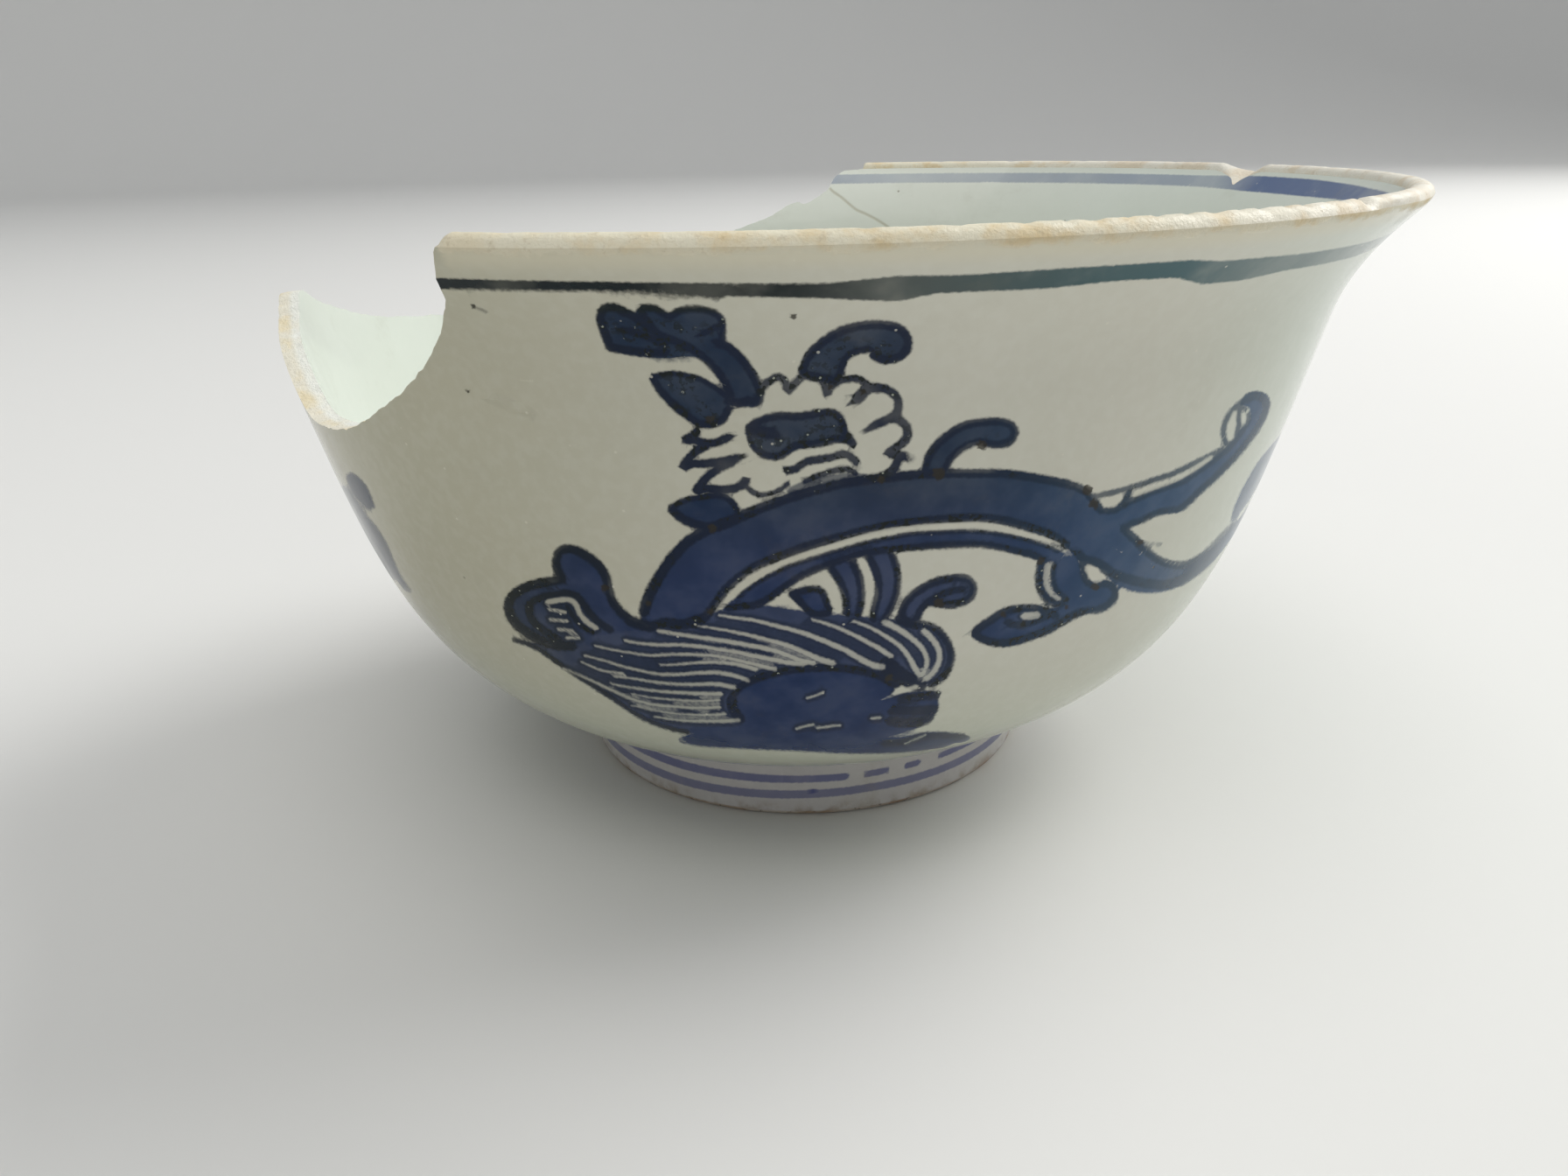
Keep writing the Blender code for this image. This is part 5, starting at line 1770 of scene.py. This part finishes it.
def lines_only(nodes, groups, ground, line):
    """The ground with just the thin lines of the cobalt painting on it."""
    return nodes.group(
        groups["cobalt"], ground=ground, line=line, line_reach=nodes.layer("line_reach"),
        line_strength=nodes.layer("line_strength"), field_reach=FAR, bare_reach=FAR,
        spot_reach=FAR)["Color"]


CRACK_EDGE, CRACK_SHARE, CRACK_DEPTH = (-4.5, 0.8), 0.55, 0.00001
CRACK_COLOUR = (0.36, 0.33, 0.22)
INNER_PIT_COLOUR = (0.20, 0.16, 0.11)
INNER_LINE_COLOUR = (0.055, 0.105, 0.270)


def glaze_inside(groups):
    """The plain inside, with its blue line under the lip and a hairline crack."""
    material, nodes, shader = new_material("glaze_inside", 0.12, GLAZE_IOR, GLAZE_SPECULAR)
    # Painted light: the ground is brighter and bluer on the left, where light falls on it, and a little
    # darker towards the bottom
    ground = nodes.group(
        groups["white"], left=(0.74, 0.785, 0.725), middle=(0.73, 0.76, 0.69),
        right=(0.72, 0.77, 0.71), low=(0.68, 0.73, 0.66))["Color"]
    paint = lines_only(nodes, groups, ground, INNER_LINE_COLOUR)
    colour = nodes.group(groups["dust"], base=paint, specks=0.35, grime=0.16)["Color"]
    skin = nodes.group(groups["skin"], gloss=0.10, wear=0.15)
    colour = nodes.mix(nodes.times(skin["Pit"], 0.6), colour, INNER_PIT_COLOUR)
    crack = nodes.step(nodes.layer("crack_reach"), *CRACK_EDGE)
    colour = nodes.mix(nodes.times(crack, CRACK_SHARE), colour, CRACK_COLOUR)
    nodes.feed(shader["Base Color"], colour)
    nodes.feed(shader["Roughness"], skin["Roughness"])
    height = nodes.minus(skin["Height"], nodes.times(crack, CRACK_DEPTH))
    raise_surface(nodes, shader, height)
    return material


def worn_lip(groups):
    """The top of the lip, rubbed down to the stained body."""
    material, nodes, shader = new_material("worn_lip", 0.55)
    right = nodes.step(nodes.along("X"), 0.010, 0.055)
    clean = nodes.mix(right, (0.79, 0.745, 0.59), (0.80, 0.77, 0.68))
    stain = nodes.mix(right, (0.70, 0.545, 0.30), (0.72, 0.63, 0.49))
    bare = nodes.group(
        groups["bare"], clean=clean, stain=stain, dirt=(0.34, 0.24, 0.13),
        stained=nodes.step(nodes.along("X"), *TO_STAINED, 0.20, 0.85), soiled=0.22)
    nodes.feed(shader["Base Color"], bare["Color"])
    nodes.feed(shader["Roughness"], nodes.step(nodes.noise(0.003, 3.0), 0.3, 0.7, 0.38, 0.72))
    raise_surface(nodes, shader, bare["Height"])
    return material


TO_INWARD = (0.42, 0.66)


def raw_break(groups):
    """The broken edge: rough white body with yellowed margins."""
    material, nodes, shader = new_material("raw_break", 0.8)
    across_edge = nodes.layer("across_edge")
    inward = nodes.step(across_edge, *TO_INWARD)
    clean = nodes.mix(inward, (0.80, 0.765, 0.65), (0.83, 0.84, 0.78))
    stain = nodes.mix(inward, (0.78, 0.66, 0.41), (0.83, 0.80, 0.68))
    bare = nodes.group(
        groups["bare"], clean=clean, stain=stain, dirt=(0.45, 0.36, 0.23), stained=0.70,
        soiled=nodes.step(across_edge, *TO_INWARD, 0.14, 0.04))
    nodes.feed(shader["Base Color"], bare["Color"])
    nodes.feed(shader["Roughness"], nodes.step(nodes.noise(0.002, 3.0), 0.3, 0.7, 0.6, 0.9))
    raise_surface(nodes, shader, nodes.times(bare["Height"], 1.6))
    return material


def bare_foot(groups):
    """The unglazed ring that the bowl stands on, rough and soiled."""
    material, nodes, shader = new_material("bare_foot", 0.8)
    bare = nodes.group(
        groups["bare"], clean=(0.56, 0.50, 0.44), stain=(0.36, 0.22, 0.12),
        dirt=(0.09, 0.065, 0.045), stained=0.8, soiled=0.8)
    nodes.feed(shader["Base Color"], bare["Color"])
    nodes.feed(shader["Roughness"], nodes.step(nodes.noise(0.003, 3.0), 0.3, 0.7, 0.65, 0.9))
    raise_surface(nodes, shader, bare["Height"])
    return material


FOOT_LINE_COLOUR = (0.085, 0.100, 0.26)
FOOT_SOIL_COLOUR = (0.38, 0.32, 0.27)
TO_SOILED_FOOT = (0.0024, 0.0006)


def glaze_foot(groups):
    """The glazed side of the foot ring and the underside, with two thin lines."""
    material, nodes, shader = new_material("glaze_foot", 0.14, GLAZE_IOR, GLAZE_SPECULAR)
    # Painted shade: the ground is darker on the left
    ground = nodes.group(
        groups["white"], left=(0.46, 0.46, 0.45), middle=(0.58, 0.56, 0.56),
        right=(0.64, 0.63, 0.62), low=(0.56, 0.54, 0.54))["Color"]
    paint = lines_only(nodes, groups, ground, FOOT_LINE_COLOUR)
    colour = nodes.group(groups["dust"], base=paint, specks=0.2, grime=0.30)["Color"]
    low = nodes.step(nodes.along("Z"), *TO_SOILED_FOOT)
    ragged = nodes.step(nodes.noise(0.0025, 4.0, 0.6), 0.40, 0.66)
    colour = nodes.mix(nodes.times(low, ragged), colour, FOOT_SOIL_COLOUR)
    skin = nodes.group(groups["skin"], gloss=0.13, wear=0.5)
    nodes.feed(shader["Base Color"], colour)
    nodes.feed(shader["Roughness"], skin["Roughness"])
    raise_surface(nodes, shader, skin["Height"])
    return material


def plain_material(name, colour, roughness):
    material, nodes, shader = new_material(name, roughness)
    nodes.feed(shader["Base Color"], colour)
    return material


def add_camera():
    right, up, forward = eye_axes()
    data = bpy.data.cameras.new("camera")
    data.sensor_width = SENSOR_WIDTH
    data.lens = FOCAL_PIXELS / PHOTO_SIZE[0] * SENSOR_WIDTH
    data.clip_start = 0.005
    camera = bpy.data.objects.new("camera", data)
    rows = Matrix((right, up, -forward)).transposed().to_4x4()
    camera.matrix_world = Matrix.Translation(Vector(EYE) + AXIS) @ rows
    bpy.context.scene.collection.objects.link(camera)
    bpy.context.scene.camera = camera


def add_area_light(name, place, size, power, colour):
    """A square lamp that faces the bowl."""
    data = bpy.data.lights.new(name, "AREA")
    data.shape = "SQUARE"
    data.size = size
    data.energy = power
    data.color = colour
    light = bpy.data.objects.new(name, data)
    light.location = place
    light.rotation_euler = (Vector(LIT_PLACE) - Vector(place)).to_track_quat("-Z", "Y").to_euler()
    bpy.context.scene.collection.objects.link(light)


SWEEP_FLOOR_RADIUS = 2.0
SWEEP_TURN_RADIUS = 0.9
SWEEP_TOP = 2.6
SWEEP_STEPS = 16
SWEEP_SEGMENTS = 96
SWEEP_COLOUR = (0.76, 0.76, 0.75)


def add_stage():
    """A plain pale floor that sweeps up into a backdrop on all sides."""
    line = [(SWEEP_FLOOR_RADIUS, 0.0)]
    for turn in np.radians(np.linspace(0.0, 90.0, SWEEP_STEPS + 1)[1:]):
        radius = SWEEP_FLOOR_RADIUS + SWEEP_TURN_RADIUS * math.sin(turn)
        line.append((radius, SWEEP_TURN_RADIUS * (1.0 - math.cos(turn))))
    line.append((SWEEP_FLOOR_RADIUS + SWEEP_TURN_RADIUS, SWEEP_TOP))
    rows = ring_rows(line, SWEEP_SEGMENTS)
    starts = [k * SWEEP_SEGMENTS for k in range(len(rows))]
    rings = [list(range(start, start + SWEEP_SEGMENTS)) for start in starts]
    faces = [tuple(rings[0])]
    for lower, upper in zip(rings, rings[1:]):
        faces += ring_faces(lower, upper)
    mesh = bpy.data.meshes.new("sweep")
    mesh.from_pydata(np.vstack(rows).tolist(), [], faces)
    mesh.shade_smooth()
    mesh.materials.append(plain_material("sweep_paper", SWEEP_COLOUR, 0.9))
    sweep = bpy.data.objects.new("sweep", mesh)
    bpy.context.scene.collection.objects.link(sweep)


WORLD_COLOUR = (0.93, 0.96, 1.0)
WORLD_STRENGTH = 0.36
LIT_PLACE = (0.0, 0.0, 0.03)
WINDOW_POWER = 21.0
CEILING_POWER = 14.0


def add_lights():
    """A big soft window on the right, a little behind, and an even pale surround."""
    world = bpy.data.worlds.new("studio")
    world.use_nodes = True
    background = world.node_tree.nodes["Background"]
    background.inputs["Color"].default_value = (*WORLD_COLOUR, 1.0)
    background.inputs["Strength"].default_value = WORLD_STRENGTH
    bpy.context.scene.world = world
    add_area_light("window", (1.15, 0.55, 1.05), 1.1, WINDOW_POWER, (1.0, 0.99, 0.96))
    add_area_light("ceiling", (-0.2, -0.5, 1.8), 1.6, CEILING_POWER, (1.0, 0.985, 0.95))


def main():
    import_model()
    shell = bowl_shell()
    groups = {
        "white": glazed_white_group(), "cobalt": cobalt_group(), "skin": glaze_skin_group(),
        "bare": bare_body_group(), "dust": dust_group(),
    }
    finishes = (glaze_outside, glaze_inside, worn_lip, raw_break, bare_foot, glaze_foot)
    bowl = make_bowl(shell, [finish(groups) for finish in finishes])
    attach(bowl, "root")
    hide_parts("bowl")
    add_camera()
    add_stage()
    add_lights()
    bpy.context.scene.view_settings.view_transform = "Standard"


main()
